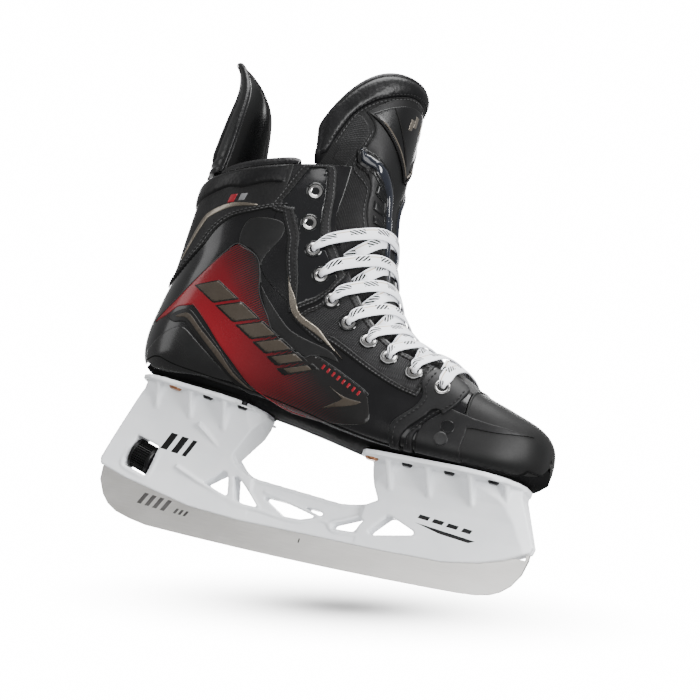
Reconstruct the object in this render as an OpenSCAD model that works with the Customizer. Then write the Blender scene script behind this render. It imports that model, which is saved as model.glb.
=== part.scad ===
// Ice hockey skate for the right foot: a laced boot on a blade holder, with a runner
// that a thumb wheel lets go. All sizes are in millimetres.
// +X points to the toe, +Y to the inner side of the foot and +Z up.
// The origin is the point where the middle of the runner meets the ice.

/* [Runner] */
// Thickness of the steel runner
runner_t = 3; // [2.6:0.1:3.1]
// Radius of the rocker ground along the runner
rocker_r = 2900; // [2000:100:4000]
// Side clearance of the runner in the holder's groove
groove_gap = 0.2; // [0.15:0.05:0.3]

/* [Blade holder] */
// Thickness of the two mounting flanges
flange_t = 3; // [2.5:0.1:3.2]
// Half width of the truss between the towers
truss_half = 5; // [4.5:0.5:6]
// Radius of the lock wheel
wheel_r = 9.5; // [8.5:0.5:10]
// Length of the lock wheel along its own axis
wheel_len = 15; // [12:1:16]
// Radius of the lock wheel's threaded bore
wheel_bore_r = 3; // [2.8:0.1:3.2]

/* [Boot] */
// Thickness of the quarters, facings and toe cap
shell_t = 2.6; // [2.2:0.1:2.8]
// Thickness of the foam and lining inside the quarters
liner_t = 3; // [2:0.5:3]
// Thickness of the tongue with its felt
tongue_t = 8; // [6:1:9]
// Height of the top of the tongue above the ice
tongue_top = 308; // [300:1:312]

/* [Lacing] */
// Bore radius of an eyelet
eyelet_r = 2.4; // [2.2:0.1:2.5]
// Radius of the eyelet's visible ring
eyelet_ring_r = 4.5; // [4.2:0.1:4.8]
// Width of the flat lace
lace_w = 7.6; // [6:0.2:8]
// Thickness of the flat lace
lace_t = 1.3; // [1:0.1:1.4]

/* [Fasteners] */
// Radius of a sole bolt's shank
bolt_r = 2; // [1.8:0.1:2.1]
// Clearance round a bolt's shank
bolt_gap = 0.1; // [0.05:0.05:0.2]

/* [Hidden] */
inner = 1;      // side of the boot towards +Y
outer = -1;     // side of the boot towards -Y

// ---- the boot's outer surface ------------------------------------------------------
// Cross-sections from the toe's tip, round the ankle, to the collar. Each is a rounded
// outline between a point on the sole or heel line and one on the vamp or tongue line:
// [sole x, sole z, top x, top z, half width, squareness at sole, at top, taper, shift y]
sections = [
    [139, 84, 139, 90, 3, 2.2, 2.2, 0, 5],
    [137, 75, 137.5, 99, 18, 2.4, 2.2, 0, 5],
    [130, 71, 130, 106, 31, 3, 2.3, 0.05, 4],
    [115, 69.5, 113, 112.5, 41, 5, 2.3, 0.1, 2],
    [96, 69.5, 95, 119, 46.5, 6, 2.3, 0.15, 0],
    [74, 69.5, 75, 131, 49.5, 6, 2.3, 0.2, -1],
    [48, 70, 56, 137, 50.5, 5.5, 2.3, 0.22, -1],
    [20, 73.5, 40, 145, 49, 4.8, 2.3, 0.2, -1],
    [-10, 79.5, 28, 158, 47, 4.6, 2.2, 0.15, 0],
    [-42, 85, 20, 173, 45, 4.6, 2.2, 0.1, 0],
    [-76, 88.5, 14, 190, 44, 4.4, 2.2, 0.05, 0],
    [-106, 91, 11, 206, 44, 3.8, 2.2, 0, 0],
    [-124, 97, 9, 217, 44.5, 2.7, 2.2, 0, 0],
    [-130, 113, 8, 223, 45, 2.2, 2.2, 0, 0],
    [-127.5, 134, 7.5, 228, 45, 2.1, 2.2, 0, 0],
    [-122.5, 158, 7.5, 233, 45, 2.1, 2.2, 0, 0],
    [-121, 184, 8, 238, 45.5, 2.1, 2.2, 0, 0],
    [-118.5, 218, 8.5, 243, 47, 2.1, 2.2, 0, 0]];
collar_s = len(sections) - 1;
toe_s = 4;           // section at the toe cap's rear edge
facing_edge = 50;    // angle of the facing's free edge
seam = 84;           // angle of the seam between facing and quarter
sole_seam = 140;     // angle where the quarter meets the outsole

function mix(a, b, t) = a + (b - a) * t;
function clamp01(t) = min(max(t, 0), 1);
function ease(t) = let (c = clamp01(t)) c * c * (3 - 2 * c);
function unit(v) = v / norm(v);

function between(p0, p1, p2, p3, t) =
    0.5 * (2 * p1 + (p2 - p0) * t + (2 * p0 - 5 * p1 + 4 * p2 - p3) * t * t
        + (3 * p1 - p0 - 3 * p2 + p3) * t * t * t);

function section(s) =
    let (last = len(sections) - 1, i = min(floor(s), last - 1))
    between(sections[max(i - 1, 0)], sections[i], sections[i + 1],
        sections[min(i + 2, last)], s - i);

// Point on the boot at section s and angle a, d below the surface. The angle runs from
// 0 on the vamp and tongue line to 180 on the sole and heel line, + on the inner side.
function skin(s, a, d = 0) =
    let (q = section(s), low = [q[0], q[1]], high = [q[2], q[3]],
        long = norm(high - low), along = (high - low) / long, mid = (low + high) / 2,
        e = mix(q[5], q[6], (1 + cos(a)) / 2),
        r = pow(pow(abs(cos(a)), e) + pow(abs(sin(a)), e), -1 / e),
        u = cos(a) * r, v = sin(a) * r,
        p = mid + along * max(long / 2 - d, 0.3) * u,
        pull = d * clamp01(1 - s / 2.5))
    [p[0] - pull, q[8] + v * max(q[4] - d, 0.3) * (1 - q[7] * (u + 1) / 2), p[1]];

function skin_normal(s, a) =
    let (n = unit(cross(skin(s + 0.05, a) - skin(s - 0.05, a), skin(s, a + 1) - skin(s, a - 1))),
        out = skin(s, a) - skin(s, a, 3))
    n * out > 0 ? n : -n;

// The quarter reaches down to the outsole, and behind the heel to the back seam.
function quarter_low(s) = mix(sole_seam, 179.6, ease((s - 11.4) / 1.2));

// A curved sheet between an outer and an inner surface, each a function of u and v
module sheet(n, m, outside, inside) {
    w = m + 1;
    half = (n + 1) * w;
    pts = [for (face = [outside, inside], i = [0:n], j = [0:m]) face(i / n, j / m)];
    top = [for (i = [0:n - 1], j = [0:m - 1]) let (k = i * w + j)
        each [[k, k + 1, k + w + 1], [k, k + w + 1, k + w]]];
    under = [for (f = top) [f[0] + half, f[2] + half, f[1] + half]];
    rim = concat([for (j = [0:m - 1]) j], [for (i = [0:n - 1]) i * w + m],
        [for (j = [m:-1:1]) n * w + j], [for (i = [n:-1:1]) i * w]);
    wall = [for (k = [0:len(rim) - 1]) let (a = rim[k], b = rim[(k + 1) % len(rim)])
        each [[a, a + half, b + half], [a, b + half, b]]];
    faces = concat(top, under, wall);
    mid = floor(n / 2) * w + floor(m / 2);
    turned = cross(pts[mid + 1] - pts[mid], pts[mid + w] - pts[mid])
        * (pts[mid] - pts[mid + half]) > 0;
    polyhedron(pts, turned ? [for (f = faces) [f[0], f[2], f[1]]] : faces);
}

// A sheet on the boot between two sections and two angles, from d1 to d2 deep
module boot_sheet(n, m, s1, s2, a1, a2, d1, d2) {
    sheet(n, m,
        function(u, v) skin(mix(s1, s2, u), mix(a1, a2, v), d1),
        function(u, v) skin(mix(s1, s2, u), mix(a1, a2, v), d2));
}

// Moves a shape so that its z axis is the boot's normal at section s and angle a
module on_skin(s, a) {
    n = skin_normal(s, a);
    translate(skin(s, a)) rotate([0, acos(n[2]), atan2(n[1], n[0])]) children();
}

// ---- boot ----------------------------------------------------------------------------
function sole_point(s, v, d) =
    let (edge = quarter_low(s) + 0.3 + 6 * max(s - 11, 0)) skin(s, mix(edge, 360 - edge, v), d);

module outsole() {
    color([0.07, 0.07, 0.08])
        difference() {
            sheet(34, 10,
                function(u, v) sole_point(mix(0.3, 12, u), v, 0),
                function(u, v) sole_point(mix(0.3, 12, u), v, sole_t));
            bolt_holes();
        }
}

module insole_board() {
    color([0.55, 0.45, 0.32])
        boot_sheet(22, 6, 1.5, 11.2, 143, 217, sole_t + 4.6, sole_t + 5.8);
}

module footbed() {
    color([0.12, 0.12, 0.13])
        boot_sheet(22, 6, 2, 11.4, 144, 216, sole_t + 6.4, sole_t + 9.9);
}

module quarter(side) {
    color([0.05, 0.05, 0.06])
        sheet(32, 8,
            function(u, v) let (s = mix(toe_s + 0.03, collar_s, u))
                skin(s, side * mix(seam + 0.1, quarter_low(s) - 0.2, v)),
            function(u, v) let (s = mix(toe_s + 0.03, collar_s, u))
                skin(s, side * mix(seam + 0.1, quarter_low(s) - 0.2, v), shell_t));
}

module quarter_lateral() {
    quarter(outer);
}

module quarter_medial() {
    quarter(inner);
}

module facing(side) {
    color([0.03, 0.03, 0.04])
        difference() {
            sheet(32, 4,
                function(u, v) skin(mix(toe_s + 0.03, collar_s, u),
                    side * mix(facing_edge, seam - 0.1, v)),
                function(u, v) skin(mix(toe_s + 0.03, collar_s, u),
                    side * mix(facing_edge, seam - 0.1, v), shell_t));
            for (e = eyelets)
                on_skin(e[0], side * e[1])
                    cylinder(r = eyelet_r + 0.65, h = 16, center = true, $fn = 32);
        }
}

module facing_lateral() {
    facing(outer);
}

module facing_medial() {
    facing(inner);
}

module liner(side) {
    color([0.15, 0.15, 0.16])
        sheet(24, 7,
            function(u, v) let (s = mix(toe_s + 0.5, collar_s - 0.05, u))
                skin(s, side * mix(seam, quarter_low(s) - 1, v), liner_d),
            function(u, v) let (s = mix(toe_s + 0.5, collar_s - 0.05, u))
                skin(s, side * mix(seam, quarter_low(s) - 1, v), liner_d + liner_t));
}

module liner_lateral() {
    liner(outer);
}

module liner_medial() {
    liner(inner);
}

module heel_counter() {
    color([0.3, 0.3, 0.32])
        boot_sheet(8, 16, 12.9, 15.4, 105, 255, shell_t + 0.6, liner_d - 0.6);
}

// A foam pad on the lining, thick in its middle and thin at its rim
module ankle_pad(side) {
    color([0.2, 0.2, 0.21])
        sheet(8, 8,
            function(u, v) skin(mix(12.7, 15.4, u), side * mix(98, 140, v), pad_d),
            function(u, v) skin(mix(12.7, 15.4, u), side * mix(98, 140, v),
                pad_d + 0.6 + 5 * sin(180 * u) * sin(180 * v)));
}

module ankle_pad_lateral() {
    ankle_pad(outer);
}

module ankle_pad_medial() {
    ankle_pad(inner);
}

// The padded roll along the top edge of a quarter
module collar_roll(side) {
    color([0.06, 0.06, 0.07])
        sheet(6, 14,
            function(u, v) skin(collar_s, side * mix(80, 131, v), 5 - 5 * cos(180 * u))
                + [0, 0, 0.6 + 6 * sin(180 * u)],
            function(u, v) skin(collar_s, side * mix(80, 131, v), 5 - 5 * cos(180 * u))
                + [0, 0, 0.5]);
}

module collar_roll_lateral() {
    collar_roll(outer);
}

module collar_roll_medial() {
    collar_roll(inner);
}

module toe_cap() {
    color([0.05, 0.05, 0.05])
        boot_sheet(14, 24, 0, toe_s - 0.03, -sole_seam + 0.3, sole_seam - 0.3, 0, shell_t);
}

module toe_studs() {
    color([0.04, 0.04, 0.04])
        for (side = [outer, inner], place = [[4.45, 108], [4.6, 120]])
            on_skin(place[0], side * place[1])
                translate([0, 0, 0.3]) cylinder(r = 3.3, h = 0.9, $fn = 32);
}

module vamp() {
    color([0.08, 0.08, 0.09])
        boot_sheet(4, 12, toe_s + 0.03, 4.5, -facing_edge + 0.5, facing_edge - 0.5, 0, 2);
}

// The stitched strap that runs from the sole over the last eyelet
module strap(side) {
    color([0.1, 0.1, 0.11])
        difference() {
            sheet(6, 10,
                function(u, v) strap_point(side, u, v, -1.5),
                function(u, v) strap_point(side, u, v, -0.4));
            on_skin(eyelets[9][0], side * eyelets[9][1])
                cylinder(r = eyelet_ring_r + 0.4, h = 16, center = true, $fn = 32);
        }
}

function strap_point(side, u, v, d) =
    let (a = mix(57, 134, v),
        front = mix(4.1, 4.95, ease((a - 62) / 50)),
        back = mix(5.35, 5.85, ease((a - 62) / 40)))
    skin(mix(front, back, u), side * a, d);

module strap_lateral() {
    strap(outer);
}

module strap_medial() {
    strap(inner);
}

// ---- tendon guard --------------------------------------------------------------------
// Heights with the place of the guard's back, its edges and its half width:
// [z, back x, edge x, half width]
guard_rows = [
    [223, -118, -100, 31],
    [240, -118, -98, 30.5],
    [262, -116, -98, 28],
    [284, -113, -101, 23],
    [298, -115, -109, 17],
    [306, -120, -117, 11],
    [309, -123, -122, 5]];

function guard_point(u, v, d) =
    let (last = len(guard_rows) - 1, t = u * last, i = min(floor(t), last - 1),
        row = between(guard_rows[max(i - 1, 0)], guard_rows[i], guard_rows[i + 1],
            guard_rows[min(i + 2, last)], t - i),
        a = mix(-80, 80, v), lift = i == 0 ? 3 * (1 - cos(a)) * (1 - t) : 0)
    [row[1] + d + (row[2] - row[1]) * (1 - cos(a)), (row[3] - d * 0.8) * sin(a), row[0] + lift];

module tendon_guard() {
    color([0.05, 0.05, 0.06])
        sheet(18, 14,
            function(u, v) guard_point(u, v, 0),
            function(u, v) guard_point(u, v, 3.4));
}

// ---- tongue --------------------------------------------------------------------------
// The tongue lies flush between the facings and dips under their edges.
function tongue_depth(a) = 0.4 + 6.4 * ease((abs(a) - 34) / 13);

function tongue_low(u, v, d) =
    let (a = mix(-70, 70, v)) skin(mix(4.56, collar_s + 0.1, u), a, tongue_depth(a) + d);

function tongue_high(u, v, d) =
    let (a = mix(-74, 74, v), start = skin(collar_s + 0.1, a * 70 / 74, mix(tongue_depth(a), 0.5, ease(3 * u)) + d),
        end = [-54 + (62 - d) * cos(a), (45.5 - d) * sin(a), tongue_top - 46 * pow(abs(a) / 74, 4)])
    mix(start, end, u) + [0, 0, 0.8 * (1 - u)];

module tongue_lower() {
    color([0.06, 0.06, 0.07])
        sheet(24, 12, function(u, v) tongue_low(u, v, 0),
            function(u, v) tongue_low(u, v, tongue_t * 0.6));
}

module tongue_felt_lower() {
    color([0.45, 0.45, 0.46])
        sheet(24, 12, function(u, v) tongue_low(u, v, tongue_t * 0.6 + 0.3),
            function(u, v) tongue_low(u, v, tongue_t));
}

module tongue_upper() {
    color([0.05, 0.05, 0.06])
        sheet(14, 16, function(u, v) tongue_high(u, v, 0),
            function(u, v) tongue_high(u, v, tongue_t * 0.6));
}

module tongue_felt_upper() {
    color([0.45, 0.45, 0.46])
        sheet(14, 16, function(u, v) tongue_high(0.94 * u, v, tongue_t * 0.6 + 0.5),
            function(u, v) tongue_high(0.94 * u, v, tongue_t));
}

// The stiff ribbed guard between the laces and the shin
module lace_bite_guard() {
    color([0.04, 0.05, 0.07])
        boot_sheet(10, 8, 12.3, collar_s - 0.3, -26, 26, -1.8, 0.2);
}

// The badge is a wedge with its point down.
function badge_point(u, v, d) =
    let (half = 0.01 + 0.27 * u) tongue_high(mix(0.3, 0.88, u), 0.5 + mix(-half, half, v), d);

module tongue_badge() {
    color([0.08, 0.08, 0.09])
        sheet(8, 8,
            function(u, v) badge_point(u, v, -1.8),
            function(u, v) badge_point(u, v, -0.4));
}

// ---- eyelets and lace ----------------------------------------------------------------
// Eyelets from the collar to the toe: [section, angle]. The first two stay empty.
eyelets = [[15.65, 66], [13.5, 63], [11.5, 62], [10.3, 64], [9.35, 66], [8.4, 66],
    [7.5, 63], [6.65, 63], [5.75, 65], [4.85, 69]];
laced_from = 2;

module eyelet_row(side) {
    color([0.75, 0.75, 0.77])
        for (e = eyelets)
            on_skin(e[0], side * e[1])
                rotate_extrude($fn = 40)
                    polygon([[eyelet_r, -3.7], [eyelet_ring_r - 0.8, -3.7],
                        [eyelet_ring_r - 0.8, -3.1], [eyelet_r + 0.6, -3.1],
                        [eyelet_r + 0.6, 0.35], [eyelet_ring_r, 0.35],
                        [eyelet_ring_r - 0.3, 0.9], [eyelet_r + 0.5, 1.2], [eyelet_r, 0.9]]);
}

module eyelets_lateral() {
    eyelet_row(outer);
}

module eyelets_medial() {
    eyelet_row(inner);
}

// Place over or under the boot's surface: section, angle and height along the normal
function at(s, a, h) = skin(s, a) + skin_normal(s, a) * h;

// One pass through an eyelet from inside to outside, then over the facing's edge:
// [section, angle, height, half width, half thickness]. The first laced eyelets take
// the lace from behind, the others from the facing's edge.
function eyelet_pass(k, side) =
    let (e = eyelets[k], s = e[0], a = e[1], from = k == laced_from ? 5 : -5)
    [[s, side * (a + from), -5.3, 1.9, 0.9],
        [s, side * (a + from / 5), -5, 1.7, 1],
        [s, side * a, -3.4, 1.6, 1.1],
        [s, side * a, 0.2, 1.6, 1.1],
        [s, side * (a - 0.6), 2.1, 1.8, 1],
        [s, side * (a - 3.5), 2.9, 2.8, 0.8],
        [s, side * (a - 9), 2.6, lace_w / 2, lace_t / 2]];

// A strand from outside eyelet k on one side, over the tongue, to inside eyelet k + 1
// on the other side. The strands that leave the lateral side lie on top.
function crossing(k, side) =
    let (s1 = eyelets[k][0], s2 = eyelets[k + 1][0], top = side == outer ? 3.1 : 1.4)
    [for (p = [[0.22, 40, 2.3], [0.36, 22, top], [0.5, 0, top], [0.64, -22, top],
                [0.78, -36, 0.9], [0.84, -43, -2.6], [0.9, -50, -5.2]])
        [mix(s1, s2, p[0]), side * p[1], p[2], lace_w / 2, lace_t / 2]];

function reversed(list) = [for (i = [len(list) - 1:-1:0]) list[i]];

// From the lateral eyelet below the empty ones down to the toe and back up
lace_down = [for (k = [laced_from:8]) let (side = (k - laced_from) % 2 == 0 ? outer : inner)
    each concat(eyelet_pass(k, side), crossing(k, side))];
lace_up = [for (k = [laced_from:8]) let (side = (k - laced_from) % 2 == 0 ? inner : outer)
    each concat(eyelet_pass(k, side), crossing(k, side))];
toe_bar = [for (a = [48, 24, 0, -24, -48]) [4.85, a, a == 0 ? 2 : 2.2, lace_w / 2, lace_t / 2]];
last_side = (9 - laced_from) % 2 == 0 ? outer : inner;
lace_plan = concat(lace_down, eyelet_pass(9, last_side),
    [for (p = toe_bar) [p[0], last_side * p[1], p[2], p[3], p[4]]],
    reversed(concat(lace_up, eyelet_pass(9, -last_side))));
lace_route = [for (p = lace_plan) at(p[0], p[1], p[2])];

// A flat cord of eight-sided rings. widths holds [half width, half thickness] per ring,
// and across holds the direction that each ring's width leans towards.
module ribbon(route, widths, across) {
    n = len(route);
    rings = [for (i = [0:n - 1])
        let (t = unit(route[min(i + 1, n - 1)] - route[max(i - 1, 0)]),
            w = unit(across[i] - (across[i] * t) * t), h = cross(t, w))
        for (c = [0:7]) let (a = 22.5 + 45 * c, r = 1.0824)
            route[i] + w * widths[i][0] * r * cos(a) + h * widths[i][1] * r * sin(a)];
    sides = [for (i = [0:n - 2], c = [0:7]) let (k = 8 * i, d = (c + 1) % 8)
        each [[k + c, k + 8 + c, k + 8 + d], [k + c, k + 8 + d, k + d]]];
    caps = [[for (c = [0:7]) c], [for (c = [7:-1:0]) 8 * (n - 1) + c]];
    polyhedron(rings, concat(sides, caps));
}

module lace() {
    color([0.9, 0.9, 0.93])
        ribbon(lace_route, [for (p = lace_plan) [p[3], p[4]]],
            [for (p = lace_plan) skin(p[0] + 0.2, p[1]) - skin(p[0] - 0.2, p[1])]);
}

// The lace's two ends are tucked into the boot. Each runs past the tongue's edge and
// down the lining, then turns back on the footbed. tail_start is for the +Y end.
tail_start = [[-29.2, 36.9, 175.2], [-33.8, 38, 170.8], [-38, 37.2, 166.3],
    [-41.5, 35.4, 161.5], [-44.2, 33.6, 156], [-46, 32.2, 149.5], [-47, 31.2, 142.5],
    [-47, 30.3, 135.5], [-47, 29.5, 128.5], [-46, 28.5, 121.5], [-43.5, 27.2, 115],
    [-39.5, 25.6, 109], [-34, 24, 104], [-27.5, 22.8, 100], [-20, 22, 97.2]];
tail_medial = [[-10, 22, 94.6], [5, 22, 91.6], [20, 22, 88.6], [35, 22, 86.2], [48, 22, 84.6],
    [58, 22, 84], [65, 20, 84.1], [70, 15, 85.2], [72, 8, 86], [70, 1, 85.6], [65, -4, 84.3],
    [58, -6, 84], [45, -6, 84.4], [30, -6, 86.2], [15, -6, 88.5], [0, -6, 91.4],
    [-15, -6, 94], [-30, -6, 96.6], [-42, -6, 98.2]];
tail_lateral = [[-10, -22, 94.6], [5, -22, 91.6], [20, -22, 88.6], [35, -22, 86.2],
    [48, -22, 84.6], [65, -22, 83.7], [80, -22, 83.5], [87, -20, 83.5], [92, -15, 83.5],
    [94, -8, 83.5], [92, -1, 83.5], [87, 4, 83.5], [80, 6, 83.5], [68, 6, 83.6],
    [55, 6, 83.8], [42, 6, 84.8], [28, 6, 86.5], [14, 6, 89.2], [2, 6, 92]];

function tail_route(side) =
    concat([for (p = tail_start) [p[0], side * p[1], p[2]]],
        side == inner ? tail_medial : tail_lateral);

// The ribbon stands on edge along the lining and lies flat on the footbed.
function tail_lean(route, i, side) =
    i < 13 ? mix([-1, 0, 0.5], [0.3, side, 0], ease((i - 6) / 6))
        : side * cross([0, 0, 1], route[min(i + 1, len(route) - 1)] - route[i - 1]);

module lace_tails() {
    color([0.9, 0.9, 0.93])
        for (side = [outer, inner]) {
            route = tail_route(side);
            last = len(route) - 1;
            ribbon(route,
                [for (i = [0:last]) let (wide = min(i, last - i) / 4)
                    [mix(1.9, 3.6, clamp01(wide)), mix(0.9, 0.65, clamp01(wide))]],
                [for (i = [0:last]) tail_lean(route, i, side)]);
        }
}

module aglets() {
    color([0.95, 0.95, 0.97]) {
        translate([-42.3, -6, 98.4]) rotate([0, -86, 0]) cylinder(r = 1.6, h = 22, $fn = 24);
        translate([1.7, 6, 92.2]) rotate([0, -81, 0]) cylinder(r = 1.6, h = 22, $fn = 24);
    }
}

// ---- blade holder --------------------------------------------------------------------
sole_t = 3;
liner_d = shell_t + 2.4;
pad_d = liner_d + liner_t + 0.8;
front_top = 69.3;         // top of the front flange
rear_tilt = 5.4;          // slope of the rear flange, down towards the toe
rear_pivot = [-76, 0, 87.9];
peg = [118, 0, 31];       // peg that the runner's front hook turns on
lock_at = [-113, 0, 43];  // middle of the lock wheel
lock_tilt = 16;           // slope of its axis, down towards the toe
hook_slope = 59;          // slope of the faces that lift the runner
front_bolt_x = [41, 63, 89, 115];
front_bolt_y = [27, 27, 27, 24];
rear_bolt_x = [-19, 4, 28];     // from the rear pivot, along the flange
rear_bolt_y = 23;
front_nut = 5.7;          // height of the tee nuts above each flange
rear_nut = 6.4;

module at_front_bolts(first, last) {
    for (side = [outer, inner], i = [first:last])
        translate([front_bolt_x[i], side * front_bolt_y[i], front_top]) children();
}

module at_rear_bolts(first, last) {
    for (side = [outer, inner], i = [first:last])
        translate(rear_pivot) rotate([0, rear_tilt, 0])
            translate([rear_bolt_x[i], side * rear_bolt_y, 0]) children();
}

module bolt_holes() {
    at_front_bolts(0, 3) cylinder(r = bolt_r + bolt_gap, h = 20, center = true, $fn = 32);
    at_rear_bolts(0, 2) cylinder(r = bolt_r + bolt_gap, h = 20, center = true, $fn = 32);
}

holder_outline = [[-139.5, 33], [-141, 37], [-134.5, 52], [-127.5, 66.5], [-119, 84],
    [-118.5, 90.5], [-38, 83], [-37, 81], [-53, 54], [-50, 49.5], [-45.5, 46], [-36.5, 42.5],
    [-24, 41.4], [6, 39], [16, 38.2], [25, 38], [37.5, 40.5], [45, 44.5], [36.5, 63.5],
    [36, 68], [130, 68], [130, 63], [141.5, 36], [140.5, 32.4], [126.5, 25.5], [111, 20.7],
    [90, 17.2], [48, 16.2], [12, 16.4], [-40, 16.2], [-75, 18.4], [-120, 27.4]];
truss_windows = [
    [[-69, 34], [-57, 43.5], [-54, 43], [-49, 30], [-51, 28.4], [-67.5, 32]],
    [[-49.5, 42], [-46.5, 42], [-28, 28], [-29.5, 26.2], [-44, 26.6], [-46, 28]],
    [[-31, 34.5], [-26, 33.6], [9, 32], [12, 30.5], [11, 28.5], [-1.5, 24.4], [-13, 24.2]],
    [[18.5, 24], [20, 26], [36, 33], [38.5, 31.5], [33, 23.6], [20, 23]],
    [[43, 24.6], [42, 26.5], [52, 37], [55, 37], [70, 31], [70.5, 28.8], [46, 24]]];
rear_width = [[4.8, 14], [5.5, 24], [6.5, 36], [9, 52], [12.5, 66], [15.5, 76], [18, 84], [18, 94]];
front_width = [[4.8, 14], [6, 24], [7.5, 34], [10.5, 46], [14, 55], [19, 62], [23, 68]];
rear_plan = [[-143, 4.5], [-134, 9], [-122, 15], [-108, 18], [-90, 19], [-64, 19],
    [-48, 17], [-40, 11], [-36, 5]];
front_plan = [[35, 5], [39, 11], [48, 18], [62, 21], [100, 21], [118, 16], [132, 9], [143, 4.5]];

function both_sides(half) =
    concat(half, [for (i = [len(half) - 1:-1:0]) [half[i][0], -half[i][1]]]);
function across_sides(half) =
    concat(half, [for (i = [len(half) - 1:-1:0]) [-half[i][0], half[i][1]]]);

// Extrudes a side view, drawn in x and z, to a width centred on y = 0
module side_view(width) {
    translate([0, width / 2, 0]) rotate([90, 0, 0]) linear_extrude(width) children();
}

// Extrudes a front view, drawn in y and z, from x1 to x2
module front_view(x1, x2) {
    translate([x1, 0, 0]) rotate([90, 0, 90]) linear_extrude(x2 - x1) children();
}

module tower(x1, x2, width, plan) {
    intersection() {
        side_view(80) polygon(holder_outline);
        front_view(x1, x2) polygon(across_sides(width));
        linear_extrude(120) polygon(both_sides(plan));
    }
}

module holder() {
    color([0.93, 0.94, 0.96])
        difference() {
            union() {
                tower(-145, -36, rear_width, rear_plan);
                tower(35, 145, front_width, front_plan);
                intersection() {
                    side_view(2 * truss_half) polygon(holder_outline);
                    translate([-64, -20, 10]) cube([130, 40, 46]);
                }
                front_flange();
                rear_flange();
            }
            for (window = truss_windows)
                side_view(60) polygon(window);
            lock_axis() cube([2 * wheel_r + 1.4, 60, wheel_len + 1.6], center = true);
            runner_groove();
            bolt_holes();
            lock_axis() translate([0, 0, -18]) cylinder(r = wheel_bore_r + 0.05, h = 46, $fn = 40);
        }
}

module front_flange() {
    translate([0, 0, front_top - flange_t])
        linear_extrude(flange_t)
            polygon(both_sides([[36, 31], [39, 36], [46, 37.5], [98, 37.5], [112, 34],
                [122, 27], [129, 17], [131.7, 7]]));
}

module rear_flange() {
    translate(rear_pivot) rotate([0, rear_tilt, 0]) translate([0, 0, -flange_t])
        linear_extrude(flange_t)
            polygon(both_sides([[-47, 8], [-44, 19], [-36, 27], [-26, 30], [14, 30],
                [26, 27], [34, 18], [38, 6]]));
}

// The groove that holds the runner's top edge, with pockets for its two hooks and a
// peg for the front one
module runner_groove() {
    difference() {
        side_view(runner_t + 2 * groove_gap)
            polygon([[-143, 33], [-138.5, 35.5], [-134, 37.5], [-119, 32.2], [-101, 28.6], [-101, 46.5],
                [-81, 46.5], [-81, 24.6], [-75, 22.9], [-40, 20.7], [12, 20.9], [48, 20.7],
                [90, 22], [104, 25.5], [104, 42], [127.5, 42], [127.5, 33], [143, 40], [143, 10],
                [-143, 10]]);
        translate(peg) rotate([90, 0, 0]) cylinder(r = 3, h = 10, center = true, $fn = 40);
    }
}

// Along the lock's axis, z pointing down towards the toe
module lock_axis() {
    translate(lock_at) rotate([0, 90 + lock_tilt, 0]) children();
}

// ---- runner and its lock -----------------------------------------------------------
function rocker_z(x) = rocker_r - sqrt(rocker_r * rocker_r - x * x);

runner_bottom = concat(
    [[-139.6, 32.5], [-139.2, 24], [-134.6, 15.2], [-129.7, 10], [-123, 6.2], [-113, 3.6]],
    [for (x = [-102:12:102]) [x, rocker_z(x)]],
    [[113, 2.7], [121, 4.4], [127, 7.2], [132.5, 11.8], [137.5, 19.5], [139.8, 28], [140, 31.5]]);
runner_top = [[137.5, 33], [127, 28.9], [125, 27.95]];
runner_back = [[107, 39], [107, 23.2], [90, 20.7], [48, 19.6], [12, 19.8], [-40, 19.6], [-75, 21.8],
    [-84, 23.4], [-84, 44], [-96.5, 44], [-96.5, 42.3], [-91.6, 34.1], [-90.2, 33.4], [-90.2, 25],
    [-119, 31], [-133.5, 36], [-138, 34]];

module runner() {
    color([0.72, 0.70, 0.67])
        difference() {
            side_view(runner_t)
                polygon(concat(runner_bottom, runner_top, [[125, 39]], runner_back));
            translate(peg) rotate([90, 0, 0]) {
                cylinder(r = 3.05, h = 10, center = true, $fn = 40);
                translate([0, -3.05, -5]) cube([20, 6.1, 10]);
            }
        }
}

module lock_wheel() {
    color([0.06, 0.06, 0.06])
        lock_axis()
            difference() {
                union() {
                    for (end = [-1, 1])
                        translate([0, 0, end * (wheel_len / 2 - 1)])
                            cylinder(r = wheel_r, h = 2, center = true, $fn = 60);
                    cylinder(r = wheel_r - 1, h = wheel_len - 2, center = true, $fn = 60);
                    for (k = [0:17])
                        rotate([0, 0, 20 * k]) translate([wheel_r - 1.2, -0.6, 1 - wheel_len / 2])
                            cube([0.9, 1.2, wheel_len - 2]);
                }
                cylinder(r = wheel_bore_r, h = 30, center = true, $fn = 40);
            }
}

// The threaded hook: a round bar whose bevelled nose lifts the runner's rear hook
module lock_hook() {
    color([0.5, 0.5, 0.52])
        difference() {
            lock_axis() translate([0, 0, -8.5]) cylinder(r = wheel_bore_r - 0.05, h = 31.5, $fn = 40);
            translate([-92.4, -5, 34.9]) rotate([0, hook_slope, 0])
                translate([-20, 0, 0]) cube([40, 10, 20]);
        }
}

// ---- fasteners -----------------------------------------------------------------------
module sole_bolt(head_r, top) {
    translate([0, 0, -flange_t - 1.9])
        rotate_extrude($fn = 40)
            polygon([[0, 0], [head_r - 0.9, 0], [head_r, 1], [head_r, 1.8], [bolt_r, 1.8],
                [bolt_r, top + flange_t + 1.9], [0, top + flange_t + 1.9]]);
}

module front_bolts() {
    color([0.12, 0.12, 0.13]) at_front_bolts(1, 3) sole_bolt(3.3, front_nut + 0.9);
}

module rear_bolts() {
    color([0.12, 0.12, 0.13]) at_rear_bolts(1, 2) sole_bolt(3.3, rear_nut + 0.9);
}

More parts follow.
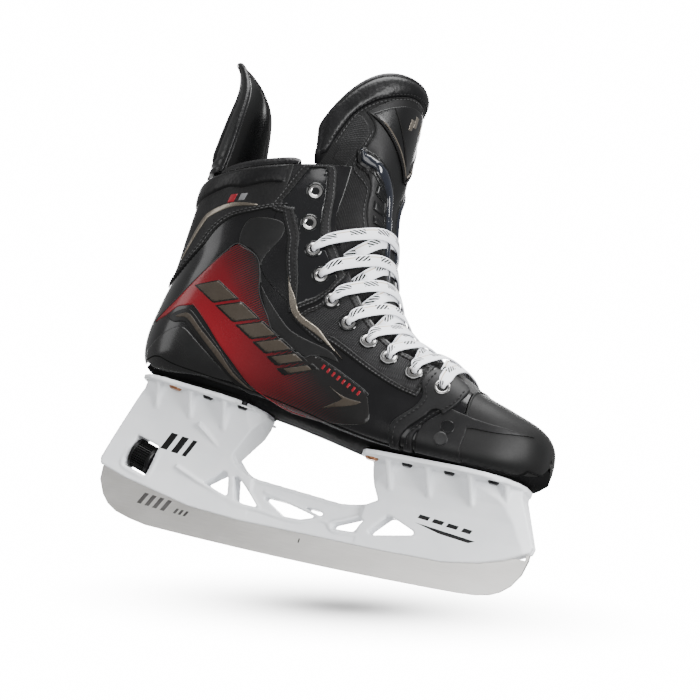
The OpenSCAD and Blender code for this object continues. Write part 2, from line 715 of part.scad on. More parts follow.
module copper_rivets() {
    color([0.72, 0.4, 0.25]) {
        at_front_bolts(0, 0) sole_bolt(4, front_nut + 0.9);
        at_rear_bolts(0, 0) sole_bolt(4, rear_nut + 0.9);
    }
}

module tee_nut() {
    difference() {
        cylinder(r = 4, h = 0.8, $fn = 40);
        cylinder(r = bolt_r + 0.05, h = 4, center = true, $fn = 40);
    }
}

module tee_nuts() {
    color([0.6, 0.6, 0.62]) {
        at_front_bolts(0, 3) translate([0, 0, front_nut]) tee_nut();
        at_rear_bolts(0, 2) translate([0, 0, rear_nut]) tee_nut();
    }
}

holder();
runner();
lock_wheel();
lock_hook();
front_bolts();
rear_bolts();
copper_rivets();
tee_nuts();
outsole();
insole_board();
footbed();
quarter_lateral();
quarter_medial();
facing_lateral();
facing_medial();
liner_lateral();
liner_medial();
heel_counter();
ankle_pad_lateral();
ankle_pad_medial();
collar_roll_lateral();
collar_roll_medial();
toe_cap();
toe_studs();
vamp();
strap_lateral();
strap_medial();
tendon_guard();
tongue_lower();
tongue_felt_lower();
lace_bite_guard();
tongue_upper();
tongue_felt_upper();
tongue_badge();
eyelets_lateral();
eyelets_medial();
lace();
lace_tails();
aglets();
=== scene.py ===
"""Looks for the hockey skate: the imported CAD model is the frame, in millimetres below."""
import math

import bpy
import numpy as np
from mathutils import Matrix, Vector, geometry
from mathutils.bvhtree import BVHTree


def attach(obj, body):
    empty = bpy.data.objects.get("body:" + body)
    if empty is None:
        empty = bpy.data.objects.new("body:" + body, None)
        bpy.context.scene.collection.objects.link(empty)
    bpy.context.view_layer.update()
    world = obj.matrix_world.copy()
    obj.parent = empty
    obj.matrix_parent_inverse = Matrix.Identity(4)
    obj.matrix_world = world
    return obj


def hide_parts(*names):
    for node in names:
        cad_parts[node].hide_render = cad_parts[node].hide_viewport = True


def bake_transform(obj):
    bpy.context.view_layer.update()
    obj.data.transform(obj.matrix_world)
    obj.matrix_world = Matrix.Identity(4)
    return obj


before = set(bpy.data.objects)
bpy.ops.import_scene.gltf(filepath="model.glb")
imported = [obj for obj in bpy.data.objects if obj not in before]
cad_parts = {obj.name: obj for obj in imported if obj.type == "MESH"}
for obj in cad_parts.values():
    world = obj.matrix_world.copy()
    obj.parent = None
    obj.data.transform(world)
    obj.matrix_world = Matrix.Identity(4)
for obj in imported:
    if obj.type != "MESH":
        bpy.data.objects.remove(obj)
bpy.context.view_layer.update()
INNER, OUTER = 1, -1
SIDES = ((OUTER, "lateral"), (INNER, "medial"))

# ---- camera --------------------------------------------------------------------------
eye = Vector((0.3694, -1.0111, -0.0951))
target = Vector((0.001433, 0, 0.133597))
photo_up = Vector((-0.1612, -0.2727, 0.9485))
back = (eye - target).normalized()
right = photo_up.cross(back).normalized()
camera = bpy.data.objects.new("camera", bpy.data.cameras.new("camera"))
bpy.context.collection.objects.link(camera)
camera.matrix_world = Matrix.Translation(eye) @ Matrix(
    (right, back.cross(right), back)).transposed().to_4x4()
camera.data.lens = 91.81
camera.data.sensor_width = 36
bpy.context.scene.camera = camera


# ---- the boot's outer surface, as in the CAD -----------------------------------------
SECTIONS = np.array([[139, 84, 139, 90, 3, 2.2, 2.2, 0, 5], [137, 75, 137.5, 99, 18, 2.4, 2.2, 0,
    5], [130, 71, 130, 106, 31, 3, 2.3, 0.05, 4], [115, 69.5, 113, 112.5, 41, 5, 2.3, 0.1, 2],
    [96, 69.5, 95, 119, 46.5, 6, 2.3, 0.15, 0], [74, 69.5, 75, 131, 49.5, 6, 2.3, 0.2, -1],
    [48, 70, 56, 137, 50.5, 5.5, 2.3, 0.22, -1], [20, 73.5, 40, 145, 49, 4.8, 2.3, 0.2, -1],
    [-10, 79.5, 28, 158, 47, 4.6, 2.2, 0.15, 0], [-42, 85, 20, 173, 45, 4.6, 2.2, 0.1, 0],
    [-76, 88.5, 14, 190, 44, 4.4, 2.2, 0.05, 0], [-106, 91, 11, 206, 44, 3.8, 2.2, 0, 0],
    [-124, 97, 9, 217, 44.5, 2.7, 2.2, 0, 0], [-130, 113, 8, 223, 45, 2.2, 2.2, 0, 0],
    [-127.5, 134, 7.5, 228, 45, 2.1, 2.2, 0, 0], [-122.5, 158, 7.5, 233, 45, 2.1, 2.2, 0, 0],
    [-121, 184, 8, 238, 45.5, 2.1, 2.2, 0, 0], [-118.5, 218, 8.5, 243, 47, 2.1, 2.2, 0, 0]])
COLLAR = 17.0
TOE = 4.0
SHELL = 2.6
EYELETS = [(15.65, 66), (13.5, 63), (11.5, 62), (10.3, 64), (9.35, 66), (8.4, 66), (7.5, 63),
    (6.65, 63), (5.75, 65), (4.85, 69)]


def mix(a, b, t):
    return a + (b - a) * t


def ease(t):
    c = np.clip(t, 0, 1)
    return c * c * (3 - 2 * c)


def unit(v):
    """Vectors scaled to a length of one."""
    return v / np.maximum(np.linalg.norm(v, axis=-1, keepdims=True), 1e-9)


def left_of(t):
    """Flat directions turned by a quarter to the left."""
    return np.stack([-t[:, 1], t[:, 0]], 1)


def spline(p0, p1, p2, p3, t):
    """Points between p1 and p2 on a smooth curve through all four."""
    return 0.5 * (2 * p1 + (p2 - p0) * t + (2 * p0 - 5 * p1 + 4 * p2 - p3) * t ** 2
                  + (3 * p1 - p0 - 3 * p2 + p3) * t ** 3)


def rows_between(table, s):
    """Smooth rows of a table at fractional row numbers s."""
    last = len(table) - 1
    i = np.clip(np.floor(s).astype(int), 0, last - 1)
    t = (s - i)[..., None]
    return spline(table[np.maximum(i - 1, 0)], table[i], table[i + 1],
                  table[np.minimum(i + 2, last)], t)


def skin(s, a, d=0.0):
    """Points on the boot at section s and angle a in degrees, d below the surface."""
    s, a, d = np.broadcast_arrays(np.asarray(s, float), np.asarray(a, float), d)
    q = rows_between(SECTIONS, s)
    low, high = q[..., 0:2], q[..., 2:4]
    length = np.linalg.norm(high - low, axis=-1)
    along = (high - low) / length[..., None]
    c, n = np.cos(np.radians(a)), np.sin(np.radians(a))
    e = mix(q[..., 5], q[..., 6], (1 + c) / 2)
    r = (np.abs(c) ** e + np.abs(n) ** e) ** (-1 / e)
    u, v = c * r, n * r
    p = (low + high) / 2 + along * (np.maximum(length / 2 - d, 0.3) * u)[..., None]
    pull = d * np.clip(1 - s / 2.5, 0, 1)
    y = q[..., 8] + v * np.maximum(q[..., 4] - d, 0.3) * (1 - q[..., 7] * (u + 1) / 2)
    return np.stack([p[..., 0] - pull, y, p[..., 1]], -1)


def skin_normal(s, a):
    s, a = np.broadcast_arrays(np.asarray(s, float), np.asarray(a, float))
    n = unit(np.cross(skin(s + 0.05, a) - skin(s - 0.05, a), skin(s, a + 1) - skin(s, a - 1)))
    out = np.sum(n * (skin(s, a) - skin(s, a, 3)), -1, keepdims=True)
    return np.where(out >= 0, n, -n)


def at(s, a, h=0.0):
    """Points over (or under) the boot's surface, h along its normal."""
    return skin(s, a) + skin_normal(s, a) * np.asarray(h, float)[..., None]


def quarter_low(s):
    return mix(140, 179.6, ease((s - 11.4) / 1.2))


# ---- meshes ----------------------------------------------------------------------------
def make(name, points, faces, material, body="boot", sharp=40, uv=None):
    """A smooth-shaded mesh piece from points in millimetres, riding on a body."""
    data = bpy.data.meshes.new(name)
    data.from_pydata((np.asarray(points, float) / 1000).tolist(), [], faces)
    if uv is not None:
        layer = data.uv_layers.new(name="UVMap")
        index = np.zeros(len(data.loops), int)
        data.loops.foreach_get("vertex_index", index)
        layer.data.foreach_set("uv", np.asarray(uv, np.float32)[index].ravel())
    data.validate()
    data.shade_smooth()
    data.set_sharp_from_angle(angle=math.radians(sharp))
    data.materials.append(material)
    piece = bpy.data.objects.new(name, data)
    bpy.context.collection.objects.link(piece)
    if body:
        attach(piece, body)
    return piece


def outward(points, faces):
    """The faces, turned so that a closed mesh has its normals outside."""
    p = np.asarray(points)
    t = np.array([(f[0], f[k], f[k + 1]) for f in faces for k in range(1, len(f) - 1)])
    total = np.sum(p[t[:, 0]] * np.cross(p[t[:, 1]], p[t[:, 2]]))
    return faces if total > 0 else [tuple(reversed(f)) for f in faces]


def ring_faces(rings, sides, closed=False):
    """Quads between neighbouring rings of points; an open row of rings gets two ends."""
    faces = [(i * sides + c, i * sides + (c + 1) % sides,
              (i + 1) % rings * sides + (c + 1) % sides, (i + 1) % rings * sides + c)
             for i in range(rings if closed else rings - 1) for c in range(sides)]
    if not closed:
        faces += [tuple(range(sides))[::-1], tuple((rings - 1) * sides + c for c in range(sides))]
    return faces


def sheet(n, m, outside, inside):
    """Points and faces of a closed sheet between two surfaces of u and v."""
    u, v = np.meshgrid(np.linspace(0, 1, n + 1), np.linspace(0, 1, m + 1), indexing="ij")
    points = np.concatenate([outside(u, v).reshape(-1, 3), inside(u, v).reshape(-1, 3)])
    w, half = m + 1, (n + 1) * (m + 1)
    faces = []
    for i in range(n):
        for j in range(m):
            k = i * w + j
            faces.append((k, k + 1, k + w + 1, k + w))
            faces.append((half + k, half + k + w, half + k + w + 1, half + k + 1))
    rim = ([j for j in range(m)] + [i * w + m for i in range(n)] + [n * w + j for j in range(m, 0,
        -1)] + [i * w for i in range(n, 0, -1)])
    for a, b in zip(rim, rim[1:] + rim[:1]):
        faces.append((a, a + half, b + half, b))
    return points, outward(points, faces), np.stack([u, v], -1).reshape(-1, 2)


def boot_sheet(name, n, m, s1, s2, a1, a2, d1, d2, material):
    def surface(d):
        return lambda u, v: skin(
            mix(s1, s2, u),
            mix(a1(mix(s1, s2, u)) if callable(a1) else a1,
                a2(mix(s1, s2, u)) if callable(a2) else a2, v), d)
    p, f, _ = sheet(n, m, surface(d1), surface(d2))
    return make(name, p, f, material)


def smooth_path(points, step, closed=False):
    """A smooth curve through points, resampled about every step."""
    p = np.asarray(points, float)
    n = len(p)
    out = []
    for i in range(n if closed else n - 1):
        if closed:
            q = [p[(i + k) % n] for k in (-1, 0, 1, 2)]
        else:
            q = [p[max(i - 1, 0)], p[i], p[i + 1], p[min(i + 2, n - 1)]]
        k = max(int(np.linalg.norm(q[2] - q[1]) / step), 1)
        for t in np.arange(k) / k:
            out.append(spline(*q, t))
    if not closed:
        out.append(p[-1])
    return np.array(out)


def straight_path(points, step, closed=False):
    """A path with its corners kept, resampled about every step."""
    p = [np.asarray(q, float) for q in points]
    if closed:
        p.append(p[0])
    out = []
    for a, b in zip(p, p[1:]):
        k = max(int(np.linalg.norm(b - a) / step), 1)
        out += [mix(a, b, t) for t in np.arange(k) / k]
    if not closed:
        out.append(p[-1])
    return np.array(out)


def inside_loop(points, loop):
    x, y = points[:, 0][:, None], points[:, 1][:, None]
    x1, y1 = loop[:, 0], loop[:, 1]
    x2, y2 = np.roll(x1, -1), np.roll(y1, -1)
    cross = ((y1 > y) != (y2 > y)) & (
        x < (x2 - x1) * (y - y1) / np.where(y2 == y1, 1e-9, y2 - y1) + x1)
    return cross.sum(1) % 2 == 1


def loop_distance(points, loop):
    a, b = loop, np.roll(loop, -1, 0)
    ab = b - a
    length = np.maximum((ab ** 2).sum(1), 1e-12)
    t = np.clip(((points[:, None] - a) * ab).sum(2) / length, 0, 1)
    return np.linalg.norm(points[:, None] - (a + t[..., None] * ab), axis=2).min(1)


def panel(name, loop, place, height, edge, material, holes=(), grid=2.0, base=0.0,
          depth=0.35, relief=None, body="boot", slot=None, sharp=50):
    """A raised panel with rounded edges on a surface. loop and holes are closed paths in
    the surface's own flat coordinates, and place(points, heights) puts them in space."""
    loops = [loop] + list(holes)
    low, high = loop.min(0), loop.max(0)
    gx, gy = np.meshgrid(np.arange(low[0], high[0], grid), np.arange(low[1], high[1], grid))
    inner = [np.stack([gx.ravel(), gy.ravel()], 1)]
    for ring in loops:
        normal = left_of(unit(np.roll(ring, -1, 0) - np.roll(ring, 1, 0)))
        for share in (0.25, 0.6, 1.0):
            for sign in (1, -1):
                shifted = ring + normal * sign * edge * share
                keep = loop_distance(shifted, ring) > 0.93 * edge * share
                inner.append(shifted[keep])
    inner = np.concatenate(inner)
    keep = inside_loop(inner, loop)
    for hole in holes:
        keep &= ~inside_loop(inner, hole)
    inner = inner[keep]
    distance = np.min([loop_distance(inner, ring) for ring in loops], 0)
    near = distance > 0.2 * edge
    inner, distance = inner[near], distance[near]
    rounded = np.round(inner / (0.22 * edge)).astype(int)
    _, first = np.unique(rounded, axis=0, return_index=True)
    inner, distance = inner[first], distance[first]
    flat = np.concatenate(loops + [inner])
    away = np.concatenate([np.zeros(sum(len(r) for r in loops)), distance])
    edges, start = [], 0
    for ring in loops:
        n = len(ring)
        edges += [(start + i, start + (i + 1) % n) for i in range(n)]
        start += n
    made = geometry.delaunay_2d_cdt([Vector(p) for p in flat], edges, [], 0, 1e-6)
    source = [o[0] if o else -1 for o in made[3]]
    flat2 = np.array([list(v) for v in made[0]])
    away2 = np.array([away[k] if k >= 0 else 0.0 for k in source])
    tris = np.array([f for f in made[2]])
    middle = flat2[tris].mean(1)
    keep = inside_loop(middle, loop)
    for hole in holes:
        keep &= ~inside_loop(middle, hole)
    tris = tris[keep]
    used, tris = np.unique(tris, return_inverse=True)
    tris = tris.reshape(-1, 3)
    flat2, away2 = flat2[used], away2[used]
    t = np.clip(away2 / edge, 0, 1)
    h = base + height * np.sqrt(1 - (1 - t) ** 2)
    if relief is not None:
        h = h + relief(flat2) * np.clip(away2 / edge - 0.3, 0, 1)
    top = place(flat2, h)
    bottom = place(flat2, np.full(len(flat2), -depth))
    n = len(flat2)
    count = {}
    for f in tris:
        for a, b in ((f[0], f[1]), (f[1], f[2]), (f[2], f[0])):
            count[(a, b)] = 1
    faces = [tuple(map(int, f)) for f in tris] + [
        (int(f[0]) + n, int(f[2]) + n, int(f[1]) + n) for f in tris]
    for a, b in count:
        if (b, a) not in count:
            faces.append((int(b), int(a), int(a) + n, int(b) + n))
    points = np.concatenate([top, bottom])
    return make(name, points, outward(points, faces), material, body, sharp,
                uv=np.concatenate([flat2, flat2]) / 1000)


# Flat coordinates on the boot: across the sections in steps of about a millimetre.
S_MM, A_MM = 30.0, 0.8


def wrapped(side):
    """Places (section, angle) coordinates on one side of the boot."""
    return lambda p, h: at(p[:, 0] / S_MM, side * p[:, 1] / A_MM, h)


def wrap(points):
    return np.asarray(points, float) * (S_MM, A_MM)


def side_tree(side):
    s = np.linspace(0, COLLAR, 500)
    a = np.linspace(2, 180, 220)
    p = skin(*np.meshgrid(s, side * a, indexing="ij"))
    w = len(a)
    quads = [(i * w + j, i * w + j + 1, (i + 1) * w + j + 1, (i + 1) * w + j)
             for i in range(len(s) - 1) for j in range(w - 1)]
    return BVHTree.FromPolygons(p.reshape(-1, 3).tolist(), quads)


TREES = {side: side_tree(side) for side, _ in SIDES}


def seen(tree, x, z, side, far=200):
    """Where a surface is met from one side at (x, z), and its normal there."""
    return tree.ray_cast(Vector((x, side * far, z)), Vector((0, -side, 0)))[:2]


def projected(side):
    """Places (x, z) coordinates of the side view on one side of the boot."""
    tree = TREES[side]

    def place(p, h):
        out, h = np.zeros((len(p), 3)), np.broadcast_to(h, len(p))
        for i, (x, z) in enumerate(p):
            hit, normal = seen(tree, x, z, side)
            while hit is None:
                z += 0.5 if z < 150 else -0.5
                hit, normal = seen(tree, x, z, side)
            if normal[1] * side < 0:
                normal = -normal
            out[i] = hit + normal * float(h[i])
        return out
    return place


def tube(route, radius, sides=10, closed=False):
    """Points and faces of a round tube with closed ends along a route."""
    route = np.asarray(route, float)
    n = len(route)
    radius = np.broadcast_to(radius, n)
    t = unit(np.roll(route, -1, 0) - np.roll(route, 1, 0) if closed
             else np.gradient(route, axis=0))
    w = np.cross(t[0], [0.3, 0.2, 0.9])
    rings = []
    for i in range(n):
        w = unit(w - t[i] * np.dot(w, t[i]))
        b = np.cross(t[i], w)
        for c in range(sides):
            q = 2 * math.pi * c / sides
            rings.append(route[i] + radius[i] * (w * math.cos(q) + b * math.sin(q)))
    return rings, outward(rings, ring_faces(n, sides, closed))


def join(parts):
    """Points and faces of several meshes as one."""
    points, faces, start = [], [], 0
    for p, f in parts:
        points.append(np.asarray(p, float))
        faces += [tuple(k + start for k in face) for face in f]
        start += len(p)
    return np.concatenate(points), faces


def stitches(name, line, normals, material, pitch=2.9, length=2.0, radius=0.34, lift=0.15,
             body="boot"):
    """A seam of separate stitches along a line of close points in space."""
    line = np.asarray(line, float)
    gap = np.linalg.norm(np.diff(line, axis=0), axis=1)
    where = np.concatenate([[0], np.cumsum(gap)])
    parts = []
    for start in np.arange(0.3, where[-1] - length, pitch):
        k = start + length * np.linspace(0, 1, 6)
        p = np.stack([np.interp(k, where, line[:, c]) for c in range(3)], 1)
        n = np.stack([np.interp(k, where, normals[:, c]) for c in range(3)], 1)
        p = p + n * (lift + 0.25 * np.sin(np.linspace(0, math.pi, 6)) - 0.1)[:, None]
        parts.append(tube(p, radius * np.array([0.5, 0.9, 1, 1, 0.9, 0.5]), 6))
    points, faces = join(parts)
    return make(name, points, faces, material, body)


def remeshed(points, faces, voxel, rounds):
    """The union of closed meshes, with its edges rounded off."""
    data = bpy.data.meshes.new("rough")
    data.from_pydata((np.asarray(points) / 1000).tolist(), [], faces)
    rough = bpy.data.objects.new("rough", data)
    bpy.context.collection.objects.link(rough)
    step = rough.modifiers.new("voxels", "REMESH")
    step.mode = "VOXEL"
    step.voxel_size = voxel / 1000
    done = bpy.data.meshes.new_from_object(
        rough.evaluated_get(bpy.context.evaluated_depsgraph_get()))
    bpy.data.objects.remove(rough)
    p = np.zeros(len(done.vertices) * 3)
    done.vertices.foreach_get("co", p)
    p = p.reshape(-1, 3) * 1000
    e = np.zeros(len(done.edges) * 2, int)
    done.edges.foreach_get("vertices", e)
    e = e.reshape(-1, 2)
    number = np.bincount(e.ravel(), minlength=len(p))[:, None]
    for k in range(2 * rounds):
        total = np.zeros_like(p)
        np.add.at(total, e[:, 0], p[e[:, 1]])
        np.add.at(total, e[:, 1], p[e[:, 0]])
        p = p + (0.6 if k % 2 == 0 else -0.5) * (total / number - p)
    polygons = [tuple(f.vertices) for f in done.polygons]
    return p, polygons


# ---- materials -------------------------------------------------------------------------
class Shader:
    """A principled material with a few short ways to add texture nodes."""

    def __init__(self, name, color, rough, **sockets):
        sockets = {"Specular_IOR_Level": 0.22, **sockets}
        self.material = bpy.data.materials.new(name)
        self.material.use_nodes = True
        self.nodes, self.links = self.material.node_tree.nodes, self.material.node_tree.links
        self.bsdf = self.nodes["Principled BSDF"]
        self.bsdf.inputs["Base Color"].default_value = (*color, 1)
        self.bsdf.inputs["Roughness"].default_value = rough
        for key, value in sockets.items():
            self.bsdf.inputs[key.replace("_", " ")].default_value = value
        self.where = self.nodes.new("ShaderNodeTexCoord")
        self.height = None

    def new(self, kind, feed, **settings):
        """A node with its settings, and its inputs by name or number."""
        node = self.nodes.new("ShaderNode" + kind)
        for key, value in settings.items():
            setattr(node, key, value)
        for key, value in feed.items():
            self.plug(value, node.inputs[key])
        return node

    def plug(self, value, socket):
        if isinstance(value, (int, float, tuple)):
            socket.default_value = value
        else:
            self.links.new(value, socket)

    def point(self, stretch=(1, 1, 1), turn=(0, 0, 0), space="Object"):
        return self.new("Mapping", {"Scale": stretch, "Rotation": turn,
                                    "Vector": self.where.outputs[space]}).outputs["Vector"]

    def split(self, space):
        return self.new("SeparateXYZ", {0: self.where.outputs[space]}).outputs

    def noise(self, scale, detail=3, rough=0.55, at=None, warp=0.0):
        return self.new("TexNoise", {
            "Scale": scale, "Detail": detail, "Roughness": rough, "Distortion": warp,
            "Vector": at or self.point()}).outputs["Fac"]

    def cells(self, scale, feature):
        return self.new("TexVoronoi", {"Scale": scale, "Vector": self.point()},
                        feature=feature).outputs["Distance"]

    def wave(self, scale, at):
        return self.new("TexWave", {"Scale": scale, "Vector": at}, bands_direction="X",
                        wave_profile="SIN").outputs["Fac"]

    def math(self, operation, a, b=0.0, c=0.0):
        return self.new("Math", {0: a, 1: b, 2: c}, operation=operation).outputs[0]

    def blend(self, fac, a, b):
        a, b = ((*c, 1) if isinstance(c, tuple) else c for c in (a, b))
        return self.new("Mix", {0: fac, 6: a, 7: b}, data_type="RGBA").outputs[2]

    def ramp(self, value, low, high, to_low=0.0, to_high=1.0, **settings):
        return self.new("MapRange", {0: value, 1: low, 2: high, 3: to_low, 4: to_high},
                        **settings).outputs[0]

    def color(self, value):
        self.links.new(value, self.bsdf.inputs["Base Color"])
        return self

    def rough(self, value, low, high):
        self.links.new(self.ramp(value, 0.3, 0.7, low, high), self.bsdf.inputs["Roughness"])
        return self

    def bump(self, value, strength, depth_mm):
        node = self.new("Bump", {"Strength": strength, "Distance": depth_mm / 1000,
                                 "Height": value})
        if self.height is not None:
            self.links.new(self.height, node.inputs["Normal"])
        self.height = node.outputs["Normal"]
        self.links.new(self.height, self.bsdf.inputs["Normal"])
        return self


def speckled(name, dark, light, rough, grain=900, bump=0.25, depth=0.25, **sockets):
    """Plastic or paint with a little colour variation and fine grain."""
    s = Shader(name, dark, rough[0], **sockets)
    s.color(s.blend(s.ramp(s.noise(60, 4), 0.35, 0.65), dark, light))
    s.rough(s.noise(35, 5, 0.6), *rough)
    s.bump(s.noise(grain, 2), bump, depth)
    return s.material


def leather(name, dark, light, rough=(0.42, 0.6), scale=750):
    s = Shader(name, dark, rough[0])
    wrinkle = s.cells(scale, feature="SMOOTH_F1")
    s.color(s.blend(s.ramp(s.noise(45, 5), 0.3, 0.7), dark, light))
    s.rough(s.noise(80, 4), *rough)
    s.bump(wrinkle, 0.35, 0.5)
    s.bump(s.noise(60, 3), 0.12, 1.2)
    return s.material


def woven(name, dark, light, pitch=1.1, rough=(0.75, 0.9), bump=0.6, space="Object"):
    s = Shader(name, dark, rough[0], Sheen_Weight=0.15, Sheen_Roughness=0.5)
    scale = 1000 / pitch / 3.2
    a = s.wave(scale, s.point(turn=(0.3, 0.2, 0.785), space=space))
    b = s.wave(scale, s.point(turn=(0.3, 0.2, -0.785), space=space))
    cross = s.math("MULTIPLY", a, b)
    s.color(s.blend(s.math("ADD", cross, s.math("MULTIPLY", s.noise(200, 3), 0.4)), dark, light))
    s.rough(s.noise(150, 3), *rough)
    s.bump(cross, bump, 0.3)
    return s.material


shell_black = speckled("shell_black", (0.0022, 0.0022, 0.00264), (0.00396, 0.00396, 0.0044),
    (0.16, 0.30), 500, 0.06, 0.15, Coat_Weight=0.35, Coat_Roughness=0.12)
patent = speckled("patent", (0.00132, 0.00154, 0.00198), (0.0022, 0.00242, 0.00308), (0.08, 0.18),
    350, 0.10, 0.2, Coat_Weight=0.8, Coat_Roughness=0.06)
satin_gray = speckled("satin_gray", (0.006, 0.006, 0.0062), (0.0085, 0.0085, 0.0086), (0.30, 0.45),
    600, 0.08, 0.15)
heel_gray = speckled("heel_gray", (0.006, 0.006, 0.00625), (0.0085, 0.0085, 0.0085), (0.20, 0.34),
    500, 0.06, 0.15, Coat_Weight=0.3, Coat_Roughness=0.15)
taupe = speckled("taupe", (0.03, 0.0235, 0.0175), (0.037, 0.0295, 0.0225), (0.34, 0.46), 1500, 0.15,
    0.1)
outline_dark = speckled("outline_dark", (0.00308, 0.00286, 0.00286), (0.0044, 0.00418, 0.00418),
    (0.3, 0.42), 800, 0.05, 0.1)
bronze = speckled("bronze", (0.17, 0.148, 0.122), (0.23, 0.207, 0.175), (0.22, 0.34), 900, 0.08,
    0.1, Metallic=0.85)
red_paint = speckled("red_paint", (0.15, 0.0036, 0.009), (0.186, 0.006, 0.012), (0.25, 0.35), 800,
    0.05, 0.1)
pale_line = speckled("pale_line", (0.11, 0.11, 0.115), (0.15, 0.15, 0.155), (0.3, 0.4), 800, 0.05,
    0.1)
edge_line = speckled("edge_line", (0.022, 0.022, 0.023), (0.035, 0.035, 0.036), (0.3, 0.4), 800,
    0.05, 0.1)
collar_leather = leather("collar_leather", (0.00264, 0.00264, 0.00286), (0.00484, 0.00484, 0.00506))
soft_leather = leather("soft_leather", (0.00242, 0.00242, 0.00286), (0.0044, 0.0044, 0.00484),
    (0.30, 0.44), 520)
strap_leather = speckled("strap_leather", (0.0034, 0.0034, 0.0037), (0.0046, 0.0046, 0.0049),
    (0.42, 0.52), 1400, 0.10, 0.12)
guard_rubber = speckled("guard_rubber", (0.0022, 0.00242, 0.00264), (0.00396, 0.00396, 0.0044),
    (0.22, 0.38), 700, 0.12, 0.25, Coat_Weight=0.2, Coat_Roughness=0.2)
ridge_gloss = speckled("ridge_gloss", (0.004, 0.005, 0.009), (0.007, 0.009, 0.015), (0.06, 0.14),
    300, 0.04, 0.1, Coat_Weight=1.0, Coat_Roughness=0.04)
toe_plastic = speckled("toe_plastic", (0.0034, 0.0034, 0.0035), (0.0052, 0.0052, 0.0053),
    (0.46, 0.58), 1300, 0.14, 0.15)
toe_satin = speckled("toe_satin", (0.0035, 0.0035, 0.0038), (0.0055, 0.0055, 0.0058), (0.36, 0.5),
    1400, 0.3, 0.2)
ribbed = woven("ribbed", (0.0022, 0.0022, 0.00242), (0.0099, 0.0099, 0.01056), 0.9)
tongue_fabric = woven("tongue_fabric", (0.00264, 0.00264, 0.00286), (0.0066, 0.0066, 0.00682), 1.0)
lining = woven("lining", (0.00352, 0.00352, 0.00374), (0.0099, 0.0099, 0.01034), 0.8)
felt_gray = woven("felt_gray", (0.08, 0.08, 0.0825), (0.15, 0.15, 0.1525), 0.6, bump=0.3)
sole_black = speckled("sole_black", (0.0048, 0.0048, 0.005), (0.0072, 0.0072, 0.0074), (0.8, 0.9),
    900, 0.2, 0.2, Specular_IOR_Level=0.02)
thread = speckled("thread", (0.025, 0.025, 0.026), (0.055, 0.055, 0.056), (0.5, 0.7), 3000, 0.3,
    0.1)
thread_dark = speckled("thread_dark", (0.0044, 0.0044, 0.00462), (0.0099, 0.0099, 0.01012),
    (0.5, 0.7), 3000, 0.3, 0.1)
holder_white = speckled("holder_white", (0.83, 0.85, 0.875), (0.88, 0.895, 0.915), (0.26, 0.40),
    450, 0.05, 0.2)
mark_black = speckled("mark_black", (0.00176, 0.00176, 0.00198), (0.00308, 0.00308, 0.0033),
    (0.3, 0.45), 900, 0.06, 0.1)
wheel_black = speckled("wheel_black", (0.00176, 0.00176, 0.00198), (0.00396, 0.00396, 0.00418),
    (0.3, 0.5), 1200, 0.2, 0.15)
bolt_dark = speckled("bolt_dark", (0.01, 0.01, 0.011), (0.0225, 0.0225, 0.024), (0.26, 0.4), 900,
    0.15, 0.15, Metallic=0.8)
copper = speckled("copper", (0.32, 0.135, 0.065), (0.38, 0.19, 0.11), (0.2, 0.38), 700, 0.2, 0.2,
    Metallic=1.0)
nickel = speckled("nickel", (0.32, 0.315, 0.31), (0.4, 0.395, 0.39), (0.12, 0.24), 600, 0.06, 0.1,
    Metallic=1.0)
zinc = speckled("zinc", (0.50, 0.50, 0.51), (0.62, 0.62, 0.63), (0.28, 0.42), 500, 0.15, 0.15,
    Metallic=1.0)
etched = speckled("etched", (0.08, 0.0775, 0.075), (0.12, 0.1175, 0.115), (0.45, 0.6), 1200, 0.2,
    0.1, Metallic=0.7)
aglet_clear = speckled("aglet_clear", (0.70, 0.70, 0.72), (0.80, 0.80, 0.82), (0.15, 0.25), 900,
    0.05, 0.1, Coat_Weight=0.6)
board = speckled("board", (0.18, 0.144, 0.096), (0.24, 0.198, 0.138), (0.7, 0.85), 1200, 0.4, 0.3)


def steel():
    """Ground steel: fine lines along the runner, with broad changes of tone between them."""
    s = Shader("ground_steel", (0.60, 0.58, 0.56), 0.3, Metallic=1.0)
    lines = s.noise(9, 6, 0.7, s.point((8, 1, 420)))
    broad = s.noise(14, 4, 0.6, s.point((1, 1, 3)))
    tone = s.math("ADD", s.math("MULTIPLY", lines, 0.45), s.math("MULTIPLY", broad, 0.55))
    s.color(s.blend(s.ramp(tone, 0.35, 0.65), (0.60, 0.585, 0.56), (0.80, 0.785, 0.76)))
    s.rough(tone, 0.30, 0.42)
    s.bump(lines, 0.10, 0.1)
    return s.material


